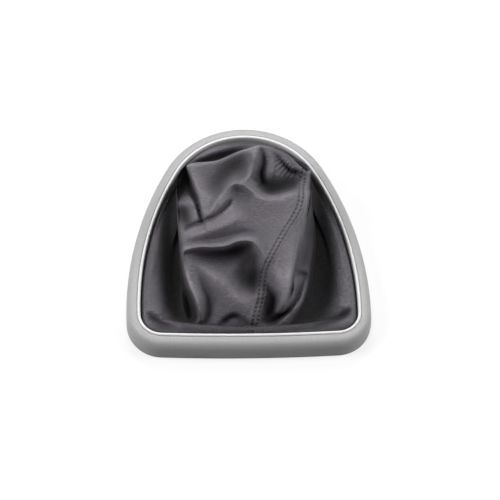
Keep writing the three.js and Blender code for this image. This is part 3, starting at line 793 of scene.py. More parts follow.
# Folds of the boot. A height below 0 is a hollow or a crease.
BOOT_FOLDS = (
    Fold("brow over the front hollow", 2.0, 1.2, 0.15, (
        (-0.6, -0.17, 3), (-0.58, -0.13, 5.5), (-0.54, -0.11, 8), (-0.43, -0.09, 9.5),
        (-0.31, -0.09, 10.5), (-0.19, -0.08, 11), (-0.09, -0.04, 11.5), (0, -0.03, 10.5),
        (0.07, -0.05, 9), (0.11, -0.11, 6), (0.14, -0.18, 3), (0.15, -0.25, 0),
    )),
    Fold("brow shoulder", 8, 5, 0.8, (
        (-0.55, -0.05, 0.5), (-0.43, -0.03, 0.5), (-0.25, 0, 0.5), (-0.06, 0.03, 0.5), (0.09, 0.02, 0),
    )),
    Fold("hollow under the brow", 3.2, 7, 0.6, (
        (-0.54, -0.2, 0), (-0.41, -0.18, -4.8), (-0.25, -0.16, -6.5), (-0.1, -0.12, -6.2),
        (-0.01, -0.11, -4), (0.07, -0.12, 0),
    )),
    Fold("hollow at the end of the brow", 2, 5, 0.7, (
        (0.03, -0.1, 0), (0.07, -0.19, -3.5), (0.08, -0.3, -3), (0.08, -0.42, -3), (0.07, -0.54, 0),
    )),
    Fold("left ridge down to the frame", 5, 1.0, 0.2, (
        (-0.6, -0.15, 3), (-0.59, -0.23, 6), (-0.56, -0.35, 8.5), (-0.53, -0.44, 9.5),
        (-0.49, -0.53, 10), (-0.46, -0.61, 10), (-0.44, -0.69, 9), (-0.44, -0.76, 6), (-0.51, -0.85, 3),
    )),
    Fold("strip beside the left ridge", 1.8, 1.8, 0.4, (
        (-0.63, -0.4, 0), (-0.61, -0.48, 8), (-0.6, -0.6, 10), (-0.58, -0.7, 8), (-0.54, -0.77, 0),
    )),
    Fold("valley left of the left ridge", 2, 5, 0.4, (
        (-0.64, -0.19, -2), (-0.64, -0.32, -7), (-0.6, -0.45, -9), (-0.55, -0.59, -11),
        (-0.52, -0.71, -9), (-0.54, -0.81, -3),
    )),
    Fold("furrow beside the left ridge", 3, 3.5, 0.5, (
        (-0.49, -0.24, 0), (-0.44, -0.34, -2.5), (-0.39, -0.45, -4.5), (-0.35, -0.55, -5.5),
        (-0.35, -0.65, -6), (-0.38, -0.76, -5), (-0.45, -0.85, -3),
    )),
    Fold("front panel swell", 5, 8, 0.7, (
        (-0.54, -0.18, 0), (-0.43, -0.25, 3), (-0.31, -0.35, 5), (-0.19, -0.48, 6), (-0.07, -0.6, 6),
        (0.03, -0.71, 4),
    )),
    Fold("hollow of the front panel", 7, 7, 0.8, (
        (-0.08, -0.24, 0), (-0.01, -0.33, -4), (0.05, -0.43, -4.5), (0.1, -0.56, 0),
    )),
    Fold("crease above the near edge", 0.8, 4.0, 0.4, (
        (-0.26, -0.85, 0), (-0.22, -0.78, -3.5), (-0.15, -0.73, -4.5), (-0.08, -0.73, -4.5),
        (0.02, -0.8, -2),
    )),
    Fold("pocket beside the seam", 4, 3.5, 0.5, (
        (0.1, -0.26, 0), (0.18, -0.38, -5), (0.23, -0.47, -8), (0.26, -0.56, -10), (0.24, -0.66, -9),
        (0.18, -0.76, -5),
    )),
    Fold("lower left edge of the right leaf", 7, 1.2, 0.25, (
        (0.13, -0.34, 0), (0.21, -0.43, 4), (0.28, -0.51, 5.5), (0.31, -0.58, 6), (0.3, -0.64, 5),
        (0.27, -0.71, 0),
    )),
    Fold("face of the right leaf", 8, 8, 0.8, (
        (0.47, 0.12, 0), (0.38, -0.08, 3.5), (0.31, -0.23, 5.5), (0.29, -0.39, 6), (0.31, -0.55, 3),
    )),
    Fold("right edge of the right leaf", 1.0, 8, 0.25, (
        (0.57, 0.55, 2), (0.55, 0.3, 4), (0.53, 0.07, 6), (0.48, -0.13, 7), (0.44, -0.31, 7),
        (0.4, -0.47, 7), (0.37, -0.6, 5.5), (0.32, -0.7, 2),
    )),
    Fold("hollow behind the right leaf", 3, 3, 0.5, (
        (0.6, 0.3, -1), (0.58, -0.02, -2), (0.54, -0.22, -3), (0.51, -0.34, 0),
    )),
    Fold("right flank", 7, 2.5, 0.5, (
        (0.65, 0.54, -3), (0.67, 0.21, -8), (0.68, -0.11, -11), (0.65, -0.39, -10), (0.57, -0.6, -7),
        (0.46, -0.74, -3),
    )),
    Fold("small fold behind the right leaf", 1.2, 1.2, 0.4, (
        (0.45, -0.33, 0), (0.49, -0.33, -3.5), (0.53, -0.34, -4.5), (0.57, -0.34, 0),
    )),
    Fold("line beside the right leaf", 0.8, 0.8, 0.3, (
        (0.56, 0.24, 0), (0.53, 0.07, -2.5), (0.49, -0.09, -3.5), (0.46, -0.24, -4), (0.43, -0.39, -5),
        (0.41, -0.51, -5.5), (0.38, -0.6, -3),
    )),
    Fold("first pleat behind the right leaf", 1.7, 1.7, 0.4, (
        (0.48, -0.36, 0), (0.47, -0.42, 2), (0.44, -0.51, 2.5), (0.41, -0.6, 2.5), (0.37, -0.66, 0),
    )),
    Fold("line between the pleats", 1.6, 1.6, 0.4, (
        (0.55, -0.36, -2.5), (0.51, -0.46, -5), (0.47, -0.56, -6.5), (0.42, -0.63, -8),
        (0.35, -0.71, -9), (0.26, -0.77, -8), (0.21, -0.82, -4),
    )),
    Fold("second pleat behind the right leaf", 2.0, 2.0, 0.4, (
        (0.58, -0.36, 0), (0.55, -0.48, 2.5), (0.51, -0.6, 3.5), (0.43, -0.68, 4), (0.36, -0.75, 3),
        (0.24, -0.82, 0),
    )),
    Fold("band above the brow", 5.5, 3.4, 0.8, (
        (-0.62, -0.06, 2), (-0.56, -0.02, 3.5), (-0.5, 0.01, 5), (-0.4, 0.04, 5.5), (-0.31, 0.07, 5.5),
        (-0.23, 0.1, 5.5), (-0.15, 0.14, 5), (-0.08, 0.19, 3.5), (-0.01, 0.26, 0),
    )),
    Fold("crease above the band", 1.2, 0.8, 0.3, (
        (-0.58, 0.05, 0), (-0.56, 0.08, -3), (-0.51, 0.11, -4), (-0.45, 0.13, -4), (-0.4, 0.15, -3.5),
        (-0.34, 0.17, -3), (-0.28, 0.2, -3), (-0.23, 0.24, -4), (-0.17, 0.3, -4.5), (-0.13, 0.36, 0),
    )),
    Fold("dip between band and brow", 1.6, 1.4, 0.8, (
        (-0.56, -0.05, 0), (-0.51, -0.04, -0.6), (-0.45, -0.04, -1), (-0.38, -0.04, -1.2),
        (-0.3, -0.03, -1.2), (-0.23, -0.01, -1.4), (-0.15, 0.01, -1.8), (-0.08, 0.03, -2.2),
        (-0.01, 0.04, -2.2), (0.07, 0.03, -1.2), (0.12, 0.01, 0),
    )),
    Fold("s-shaped ridge", 2.6, 6, 0.25, (
        (-0.37, 0.17, 0), (-0.32, 0.25, 3), (-0.28, 0.32, 5), (-0.23, 0.4, 6.5), (-0.17, 0.47, 7.5),
        (-0.11, 0.5, 8), (-0.04, 0.49, 8), (0.01, 0.46, 7.5), (0.07, 0.42, 6.5), (0.12, 0.38, 6),
        (0.2, 0.36, 5.5), (0.29, 0.37, 5), (0.39, 0.4, 4.5), (0.49, 0.42, 3),
    )),
    Fold("hollow under the arch", 4, 4, 0.7, (
        (-0.14, 0.46, 0), (-0.08, 0.44, -3), (-0.01, 0.4, -3), (0.07, 0.32, -1), (0.14, 0.28, 0),
    )),
    Fold("hollow above the s-shaped ridge", 7, 2.8, 0.5, (
        (0.14, 0.48, -4), (0.22, 0.44, -8), (0.32, 0.45, -8), (0.42, 0.49, -7), (0.49, 0.54, -4),
    )),
    Fold("valley beside the peak", 2.0, 1.2, 0.25, (
        (0.11, 0.85, -2), (0.13, 0.8, -4), (0.15, 0.7, -5), (0.13, 0.59, -6), (0.15, 0.5, -5),
    )),
    Fold("ridge below the peak", 2.6, 4, 0.25, (
        (0.1, 0.83, 3), (0.08, 0.73, 5.5), (0.05, 0.63, 6), (0.01, 0.55, 5.5), (-0.04, 0.52, 3),
    )),
    Fold("ridge towards the hem", 3.5, 4, 0.4, (
        (0.13, 0.81, 0.5), (0.18, 0.71, 0.8), (0.23, 0.63, 0.8), (0.31, 0.57, 0.8), (0.37, 0.54, 0),
    )),
    Fold("hollow of the upper panel", 5, 7, 0.8, (
        (0.03, 0.78, 0), (-0.05, 0.71, -5.5), (-0.15, 0.63, -6.5), (-0.23, 0.55, -6), (-0.3, 0.46, -4),
        (-0.36, 0.38, 0),
    )),
    Fold("top edge of the upper panel", 1.4, 6, 0.3, (
        (-0.56, 0.66, 3.5), (-0.43, 0.67, 4), (-0.29, 0.71, 5), (-0.14, 0.77, 6), (-0.01, 0.81, 6),
        (0.1, 0.84, 5),
    )),
    Fold("left notch", 1.3, 3.2, 0.2, (
        (-0.57, 0.65, -7), (-0.55, 0.57, -9), (-0.53, 0.5, -9), (-0.5, 0.42, -7), (-0.47, 0.37, -4),
        (-0.46, 0.32, 0),
    )),
    Fold("line below the notch", 1.3, 1.0, 0.2, (
        (-0.5, 0.44, 0), (-0.47, 0.37, -5), (-0.45, 0.29, -7), (-0.43, 0.21, -6), (-0.41, 0.16, -3),
        (-0.41, 0.11, 0),
    )),
    Fold("upper left fold", 5, 1.2, 0.25, (
        (-0.56, 0.65, 4), (-0.49, 0.51, 5.5), (-0.44, 0.35, 6.5), (-0.41, 0.22, 6), (-0.39, 0.15, 3),
    )),
    Fold("leaf below the notch", 1.0, 3.5, 0.3, (
        (-0.55, 0.42, 0), (-0.52, 0.35, 3.5), (-0.47, 0.26, 4.5), (-0.45, 0.18, 4), (-0.43, 0.13, 0),
    )),
    Fold("hollow of the leaf", 3.5, 4, 0.7, (
        (-0.59, 0.32, 0), (-0.59, 0.25, -5), (-0.56, 0.16, -5), (-0.5, 0.08, 0),
    )),
    Fold("left flank", 4, 7, 0.6, (
        (-0.62, 0.67, -5), (-0.62, 0.56, -8), (-0.62, 0.46, -7), (-0.64, 0.38, -4), (-0.66, 0.29, -1),
        (-0.67, 0.23, 0),
    )),
    Fold("lower stitch row of the hem", 0.8, 1.2, 0.4, (
        (0.25, 0.81, -1.5), (0.29, 0.75, -2.4), (0.34, 0.69, -3), (0.38, 0.65, -3.6), (0.42, 0.62, -4),
        (0.48, 0.61, -4), (0.52, 0.61, -3),
    )),
    Fold("upper stitch row of the hem", 0.8, 0.8, 0.4, (
        (0.3, 0.8, 0), (0.33, 0.76, -1), (0.39, 0.73, -1.4), (0.44, 0.69, -1.4), (0.49, 0.65, 0),
    )),
    Fold("puckers between the rows of the hem", 2.2, 0.9, 0.9, (
        (0.26, 0.79, 0.2), (0.33, 0.7, 0.4), (0.39, 0.66, 0.5), (0.44, 0.62, 0.5), (0.49, 0.61, 0.3),
    ), 2.2),
    Fold("pleats under the hem", 0.8, 2.2, 0.9, (
        (0.26, 0.76, 0), (0.32, 0.68, 0.4), (0.37, 0.64, 0.6), (0.43, 0.6, 0.6), (0.49, 0.58, 0),
    ), 2.4),
)

# Folds of the skirt, between the boot and the lip.
SKIRT_FOLDS = (
    Fold("left valley", 5.5, 5, 0.6, (
        (-0.66, 0.61, -5), (-0.69, 0.4, -8), (-0.71, 0.07, -9.5), (-0.7, -0.25, -9.5),
        (-0.67, -0.48, -8.5), (-0.62, -0.71, -5),
    )),
    Fold("right valley", 5.5, 6, 0.6, (
        (0.62, 0.52, -5), (0.67, 0.26, -8), (0.69, -0.02, -9.5), (0.68, -0.3, -9.5),
        (0.64, -0.55, -8.5), (0.56, -0.74, -5),
    )),
    Fold("valley behind the upper panel", 1.6, 3, 0.4, (
        (-0.54, 0.67, 0), (-0.47, 0.7, -5), (-0.39, 0.72, -8), (-0.29, 0.75, -9), (-0.19, 0.78, -8),
        (-0.08, 0.81, -4), (0.05, 0.84, 0),
    )),
    Fold("crease at the lower left", 2.2, 2.2, 0.4, (
        (-0.92, -0.68, 0), (-0.88, -0.75, -4), (-0.78, -0.81, -4.5), (-0.64, -0.84, 0),
    )),
    Fold("crease at the lower right", 1.6, 2.6, 0.4, (
        (0.96, -0.64, 0), (0.94, -0.7, -4.5), (0.85, -0.76, -5), (0.73, -0.8, -4), (0.59, -0.84, 0),
    )),
)

# Bends of the boot above the skirt. Each ring has eight points: front seam, front right, right, back right,
# back seam, back left, left and front left. A point is x, y and height: x and y as shares of the opening's
# half width and half length, height in millimetres.
BENDS = (
    (
        (0.04, -0.885, 9.5), (0.6, -0.79, 7.5), (0.72, -0.05, 6.5), (0.54, 0.52, 7),
        (0.03, 0.72, 8), (-0.5, 0.54, 7), (-0.65, -0.08, 6.5), (-0.6, -0.8, 8),
    ),
    (
        (0.05, -0.83, 14), (0.42, -0.8, 12), (0.64, -0.2, 12), (0.52, 0.47, 14),
        (0, 0.69, 15), (-0.53, 0.36, 16), (-0.62, -0.3, 14), (-0.48, -0.8, 12),
    ),
    (
        (0.1, -0.69, 22), (0.38, -0.68, 20), (0.59, -0.1, 20), (0.53, 0.48, 23),
        (0, 0.67, 24), (-0.57, 0.38, 29), (-0.61, -0.26, 26), (-0.36, -0.69, 21),
    ),
    (
        (0.145, -0.5, 34), (0.42, -0.45, 29), (0.57, 0.05, 29), (0.54, 0.49, 31),
        (0.02, 0.67, 32), (-0.58, 0.39, 41), (-0.6, -0.12, 37), (-0.3, -0.46, 34),
    ),
    (
        (0.29, -0.27, 43), (0.49, -0.17, 36), (0.57, 0.15, 36), (0.55, 0.49, 36),
        (0.08, 0.65, 38), (-0.55, 0.4, 49.5), (-0.54, 0.1, 46), (-0.18, -0.16, 46),
    ),
    (
        (0.45, -0.02, 46), (0.557, 0.06, 40), (0.58, 0.24, 41), (0.55, 0.49, 38.5),
        (0.18, 0.63, 42), (-0.25, 0.5, 52), (-0.33, 0.36, 53), (0.03, 0.12, 52),
    ),
    (
        (0.49, 0.2, 47.5), (0.565, 0.25, 44), (0.585, 0.33, 42), (0.54, 0.48, 39.5),
        (0.3, 0.6, 43), (0.1, 0.56, 51), (0.08, 0.48, 57.5), (0.21, 0.33, 54.5),
    ),
    (
        (0.519, 0.347, 48.5), (0.558, 0.36, 46), (0.578, 0.4, 43), (0.53, 0.47, 41),
        (0.4, 0.55, 43), (0.29, 0.57, 48), (0.23, 0.51, 56), (0.37, 0.45, 54.5),
    ),
)


@dataclass(frozen=True)
class BootShape:
    """The boot's surface: rings that follow the opening for the skirt, bends above it, and folds as they are
    seen from the front. A start is a rise past the foot, and so are the skirt's fades. The hem's fades are
    rises, and the lip's are counted in rings. A facing is the cosine of the angle between the leather's
    normal and the way to the viewer. Softenings are passes of averaging, and sizes are in millimetres."""

    outline: Outline
    view: View
    flange_top: float = 7.7
    flange_reach: float = 4.0
    flange_drop: float = 0.05
    lip_overlap: float = 0.1
    lip_clearances: Pair = (0.75, 0.9)
    bend_rise: float = 1.4
    floor_height: float = 1.5
    drag_start: float = 0.12
    boot_start: float = 0.06
    hem_fade: Pair = (0.95, 0.99)
    lip_fade: Pair = (3.2, 4.4)
    skirt_fade: Pair = (0.03, 0.14)
    fold_softening: int = 1
    fold_datum: float = 1.0
    fold_facing: Pair = (0.12, 0.5)
    painted_light_facing: Pair = (-0.2, 0.05)
    crisp_facing: Pair = (0.12, 0.5)
    side_softening: int = 24

    def skirt(self) -> list[tuple[tuple[float, ...], tuple[float, ...]]]:
        """Inset from the lip and height of each skirt ring, each by side: right, back, left and front. The
        first ring is the flange's edge, and the leather bends up just clear of the lip."""
        low = self.flange_top
        bend, upright = (LIP_RADIUS + clearance for clearance in self.lip_clearances)
        return [
            ((-self.flange_reach,) * 4, (low,) * 4),
            ((LIP_RADIUS - self.lip_overlap,) * 4, (low - self.flange_drop,) * 4),
            ((bend,) * 4, (low + self.bend_rise,) * 4),
            ((upright,) * 4, (11.0, 11.5, 11.0, 10.8)),
            ((3.6, 3.4, 3.6, 2.9), (13.6, 14.0, 13.6, 13.2)),
            ((7.5, 8.0, 8.0, 4.6), (15.2, 15.8, 15.2, 14.0)),
            ((13.0, 15.0, 16.0, 6.6), (13.0, 13.5, 13.0, 12.6)),
        ]

    def ring_count(self) -> int:
        """Number of rings from the flange to the hem."""
        return len(self.skirt()) + len(BENDS)

    def foot_rise(self) -> float:
        """Rise of the lowest bend, in the valley between the skirt and the boot."""
        return len(self.skirt()) / (self.ring_count() - 1)

    @staticmethod
    def by_side(values: tuple[float, ...], share: np.ndarray) -> np.ndarray:
        """Values that change smoothly round the boot, by the squares of the sine and cosine of the way round.

        Args:
            values: value at the right, back, left and front.
            share: shares of the way round.

        Returns:
            The value at each share.
        """
        right, back, left, front = values
        across = np.sin(2 * math.pi * share)
        along = -np.cos(2 * math.pi * share)
        return np.where(across > 0, right, left) * across**2 + np.where(along > 0, back, front) * along**2

    def rings(self, share: np.ndarray) -> np.ndarray:
        """Points of every ring at the given shares of the way round.

        Args:
            share: shares of the way round.

        Returns:
            Points by ring and share.
        """
        place, normal = self.outline.at(share)
        found = []
        for inset, height in self.skirt():
            depth = self.by_side(inset, share)[:, None]
            found.append(np.column_stack([place - normal * depth, self.by_side(height, share)]))
        bends = np.array(BENDS, dtype=float)
        count = bends.shape[1]
        spot = (share - np.floor(share)) * count
        first = np.floor(spot).astype(int)
        part = (spot - first)[:, None]
        size = np.array([self.outline.width / 2, self.outline.half_length(), 1.0])
        for bend in bends:
            around = [bend[(first + step) % count] for step in (-1, 0, 1, 2)]
            found.append(curve_through(*around, part) * size)
        return np.array(found)

    def smooth(self, share: np.ndarray, rise: np.ndarray) -> np.ndarray:
        """The boot before its folds: for each share, the smooth curve through its rings.

        Args:
            share: shares of the way round, one for each column.
            rise: 0 at the flange to 1 at the hem, one for each row.

        Returns:
            Points by row and column.
        """
        rings = self.rings(share)
        last = self.ring_count() - 1
        place = np.clip(rise, 0.0, 1.0) * last
        first = np.minimum(place.astype(int), last - 1)
        part = (place - first)[:, None, None]
        picked = [rings[np.clip(first + step, 0, last)] for step in (-1, 0, 1, 2)]
        return curve_through(*picked, part)

    def dragged(self, points: np.ndarray, rise: np.ndarray) -> np.ndarray:
        """The smooth boot with its drags, which fade towards its foot.

        Args:
            points: points by row and column.
            rise: rise of each row.

        Returns:
            The moved points.
        """
        across, along = self.view.seen(points)
        right, up, _ = self.view.axes()
        foot = self.foot_rise()
        taken = ease(foot, foot + self.drag_start, rise)[:, None, None]
        moved = points.copy()
        for drag in DRAGS:
            share = drag.shares(across, along, self.outline.width / 2)[..., None] * taken
            moved += share * (right * drag.shift[0] + up * drag.shift[1])
        return moved

    def fold_heights(
        self, points: np.ndarray, normals: np.ndarray, rise: np.ndarray
    ) -> tuple[np.ndarray, np.ndarray]:
        """How far the folds push points of the smooth boot towards the viewer. The boot's folds soften and
        fade where it turns away from the viewer, and fade at its foot and hem. The skirt's folds fade at the
        lip and past the foot.

        Args:
            points: points by row and column.
            normals: their outward normals.
            rise: rise of each row.

        Returns:
            Heights by row and column, and the same heights carried a little further round the sides, by which
            the leather's colour is painted light and dark, as painted highlight and painted shade.
        """
        across, along = self.view.seen(points)
        scale = self.outline.width / 2
        foot = self.foot_rise()
        lip_low, lip_high = (ring / (self.ring_count() - 1) for ring in self.lip_fade)
        skirt_low, skirt_high = (foot + past for past in self.skirt_fade)
        on_boot = ease(foot, foot + self.boot_start, rise) * (1.0 - ease(*self.hem_fade, rise))
        on_skirt = ease(lip_low, lip_high, rise) * (1.0 - ease(skirt_low, skirt_high, rise))
        boot = sum(fold.height(across, along, scale) for fold in BOOT_FOLDS) - self.fold_datum
        skirt = sum(fold.height(across, along, scale) for fold in SKIRT_FOLDS)
        turned = normals @ self.view.axes()[2]
        boot = boot * on_boot[:, None]
        soft = blurred(boot, self.side_softening)
        boot = soft + (boot - soft) * ease(*self.crisp_facing, turned)
        skirt = skirt * on_skirt[:, None]
        # the second heights set the leather's painted light and painted shade
        push, painted_lit = (
            blurred(ease(low, high, turned) * boot + skirt, self.fold_softening)
            for low, high in (self.fold_facing, self.painted_light_facing)
        )
        return push, painted_lit

    def rested(self, points: np.ndarray) -> np.ndarray:
        """Points kept above the surface that the part stands on: below twice the floor height they level off
        towards it by an exponential."""
        low = self.floor_height
        depth = (points[..., 2] - 2 * low) / low
        kept = points.copy()
        kept[..., 2] = np.where(depth < 0, low * (1.0 + np.exp(np.minimum(depth, 0.0))), points[..., 2])
        return kept


@dataclass(frozen=True)
class PanelPlan:
    """What sets a panel apart: its name, the shares of its front and back seams, and its columns."""

    name: str
    front: float
    back: float
    columns: int


class Side(Enum):
    """Which half of the boot a panel makes."""

    RIGHT = PanelPlan("leather_panel_right", 0.0, 0.5, 232)
    LEFT = PanelPlan("leather_panel_left", 1.0, 0.5, 316)


@dataclass(frozen=True)
class SeamPlan:
    """A sewn seam: the name of its thread, and the ring of the boot from which its stitches show."""

    thread: str
    first_ring: int


class Seam(Enum):
    """Where the two panels are sewn together."""

    FRONT = SeamPlan("front_seam_thread", 4)
    BACK = SeamPlan("back_seam_thread", 8)


@dataclass(frozen=True)
class SeamRelief:
    """Relief beside a sewn seam: the edge rolls into a groove, the allowance under it stands proud, and a row
    of stitches draws it down."""

    gap: float = 0.02
    groove_depth: float = 0.16
    groove_reach: float = 0.3
    allowance: float = 3.2
    allowance_rise: float = 0.42
    allowance_fade: Pair = (-0.6, 0.9)
    stitch_row: float = 1.45
    stitch_depth: float = 0.18
    stitch_reach: float = 0.55
    pitch: float = STITCH_PITCH
    pucker: float = 0.6
    row_shade: float = 0.1
    hole_sharpness: float = 1.6

    def wave(self, along: np.ndarray) -> np.ndarray:
        """1 at each needle hole and 0 halfway between two."""
        return (0.5 + 0.5 * np.cos(2 * math.pi * along / self.pitch)) ** self.hole_sharpness

    def row_mask(self, away: np.ndarray) -> np.ndarray:
        """1 on the row of stitches, fading to 0 beside it."""
        return bump(self.stitch_row, self.stitch_reach, away)

    def shade(self, away: np.ndarray, along: np.ndarray) -> np.ndarray:
        """How dark the leather is painted beside the seam, as painted shade: darkest in the needle holes.

        Args:
            away: distances from the seam's line.
            along: distances run along it.

        Returns:
            Shade from 0 to 1.
        """
        return self.row_mask(away) * (self.row_shade + (1.0 - self.row_shade) * self.wave(along))

    def height(self, away: np.ndarray, along: np.ndarray) -> np.ndarray:
        """Height of the relief.

        Args:
            away: distances from the seam's line.
            along: distances run along it.

        Returns:
            Heights along the surface's normal.
        """
        low, high = (self.allowance + past for past in self.allowance_fade)
        proud = self.allowance_rise * (1.0 - ease(low, high, away))
        groove = self.groove_depth * bump(0.0, self.groove_reach, away)
        row = self.row_mask(away) * (self.stitch_depth + self.pucker * self.wave(along))
        return proud - groove - row


def lattice_noise(points: np.ndarray, size: Triple, seed: int) -> np.ndarray:
    """Smooth random heights: values from -1 to 1 at the corners of a lattice of boxes, blended between the
    corners by the smooth step.

    Args:
        points: points in millimetres.
        size: size of a box.
        seed: which random values to use.

    Returns:
        A height for each point.
    """
    table = np.random.default_rng(seed).uniform(-1.0, 1.0, (LATTICE, LATTICE, LATTICE))
    place = points / np.array(size)
    corner = np.floor(place).astype(int)
    share = ease(0.0, 1.0, place - corner)
    total = np.zeros(points.shape[:-1])
    for step in np.ndindex(2, 2, 2):
        weight = np.prod(np.where(np.array(step) == 1, share, 1.0 - share), axis=-1)
        x, y, z = np.moveaxis((corner + np.array(step)) % LATTICE, -1, 0)
        total += weight * table[x, y, z]
    return total


@dataclass(frozen=True)
class Creasing:
    """Small wrinkles of the leather: a broad unevenness, and narrow creases that run round the boot. The
    crest span is heights of the folds, over which the creases calm down, and the start span is heights above
    the surface that the part stands on."""

    broad_size: Triple = (16.0, 12.0, 9.0)
    broad_depth: float = 0.35
    broad_seed: int = 3
    narrow_size: Triple = (7.0, 3.2, 2.6)
    narrow_depth: float = 0.22
    narrow_level: float = 0.5
    narrow_seed: int = 7
    crest_calm: float = 0.6
    crest_span: Pair = (-5.5, 1.5)
    start_span: Pair = (11.0, 15.0)

    def height(self, points: np.ndarray, push: np.ndarray) -> np.ndarray:
        """Heights of the wrinkles: a smooth noise for the broad ones, and the sharp valleys of a folded noise
        for the narrow ones, which are deepest in the hollows of the folds. They start above the lip.

        Args:
            points: points of the smooth boot.
            push: heights of the folds there.

        Returns:
            Heights along the surface's normal.
        """
        broad = lattice_noise(points, self.broad_size, self.broad_seed)
        narrow = np.abs(lattice_noise(points, self.narrow_size, self.narrow_seed)) - self.narrow_level
        hollow = 1.0 - self.crest_calm * ease(*self.crest_span, push)
        above = ease(*self.start_span, points[..., 2])
        return above * (self.broad_depth * broad + self.narrow_depth * hollow * narrow)


@dataclass(frozen=True)
class LeatherPaintedLight:
    """Painted light of the leather: how far its colour is painted lighter, as a painted highlight, or left
    dark, as painted shade. It grows from the hollows to the crests of the folds and from the valley floor up.
    It is more where the leather stands above what is round it, and less, as painted shade, in the rows of
    stitches, at the two ends of the skirt, and where the boot turns away from the front. Spans of folds and
    heights are in millimetres, and the shares of low, high and rim add up to 1."""

    low_share: float = 0.35
    low_span: Pair = (-8.5, 3.0)
    high_share: float = 0.43
    high_span: Pair = (4.0, 13.0)
    rim_share: float = 0.22
    rim_span: Pair = (-1.2, 1.6)
    rim_floor: Pair = (-6.5, -1.0)
    rim_reach: int = 60
    raised_span: Pair = (4.0, 14.0)
    end_span: Pair = (0.84, 0.95)
    end_shade: float = 0.5
    stitch_shade: float = 0.9
    turned_away_share: float = 0.5
    turned_away_span: Pair = (0.05, 0.5)

    def crest(self, push: np.ndarray) -> np.ndarray:
        """Painted light from the folds alone, from 0 (painted shade) in the hollows to 1 (painted highlight)
        on the crests.
        """
        rim = ease(*self.rim_span, push - blurred(push, self.rim_reach)) * ease(*self.rim_floor, push)
        low = self.low_share * ease(*self.low_span, push)
        high = self.high_share * ease(*self.high_span, push)
        return low + high + self.rim_share * rim

    def kept(self, turned: np.ndarray) -> np.ndarray:
        """Share of the painted light that is left, by how far the leather faces the front: painted shade
        where it turns away.
        """
        return self.turned_away_share + (1.0 - self.turned_away_share) * ease(*self.turned_away_span, turned)

    def amount(self, shape: BootShape, points: np.ndarray, push: np.ndarray, sewn: np.ndarray) -> np.ndarray:
        """Painted light of the folded leather, before its share is taken where it turns away.

        Args:
            shape: the boot's surface.
            points: points of the folded leather.
            push: heights of the folds there.
            sewn: painted shade of the rows of stitches.

        Returns:
            Painted light from 0 to 1.
        """
        # painted shade: darker low in the valleys, at the skirt's two ends and in the rows of stitches
        raised = ease(*self.raised_span, points[..., 2])
        ends = ease(*self.end_span, np.abs(points[..., 1]) / shape.outline.half_length())
        return self.crest(push) * raised * (1.0 - self.end_shade * ends) * (1.0 - self.stitch_shade * sewn)


@dataclass(frozen=True)
class PanelGrid:
    """Points of a panel by row and column: its outer skin with its normals and painted light, and its inner
    skin.
    Away is each point's distance from a seam's line, and along is the distance run along that line, by row."""

    outer: np.ndarray
    inner: np.ndarray
    normals: np.ndarray
    painted_light: np.ndarray
    away: dict[Seam, np.ndarray]
    along: dict[Seam, np.ndarray]


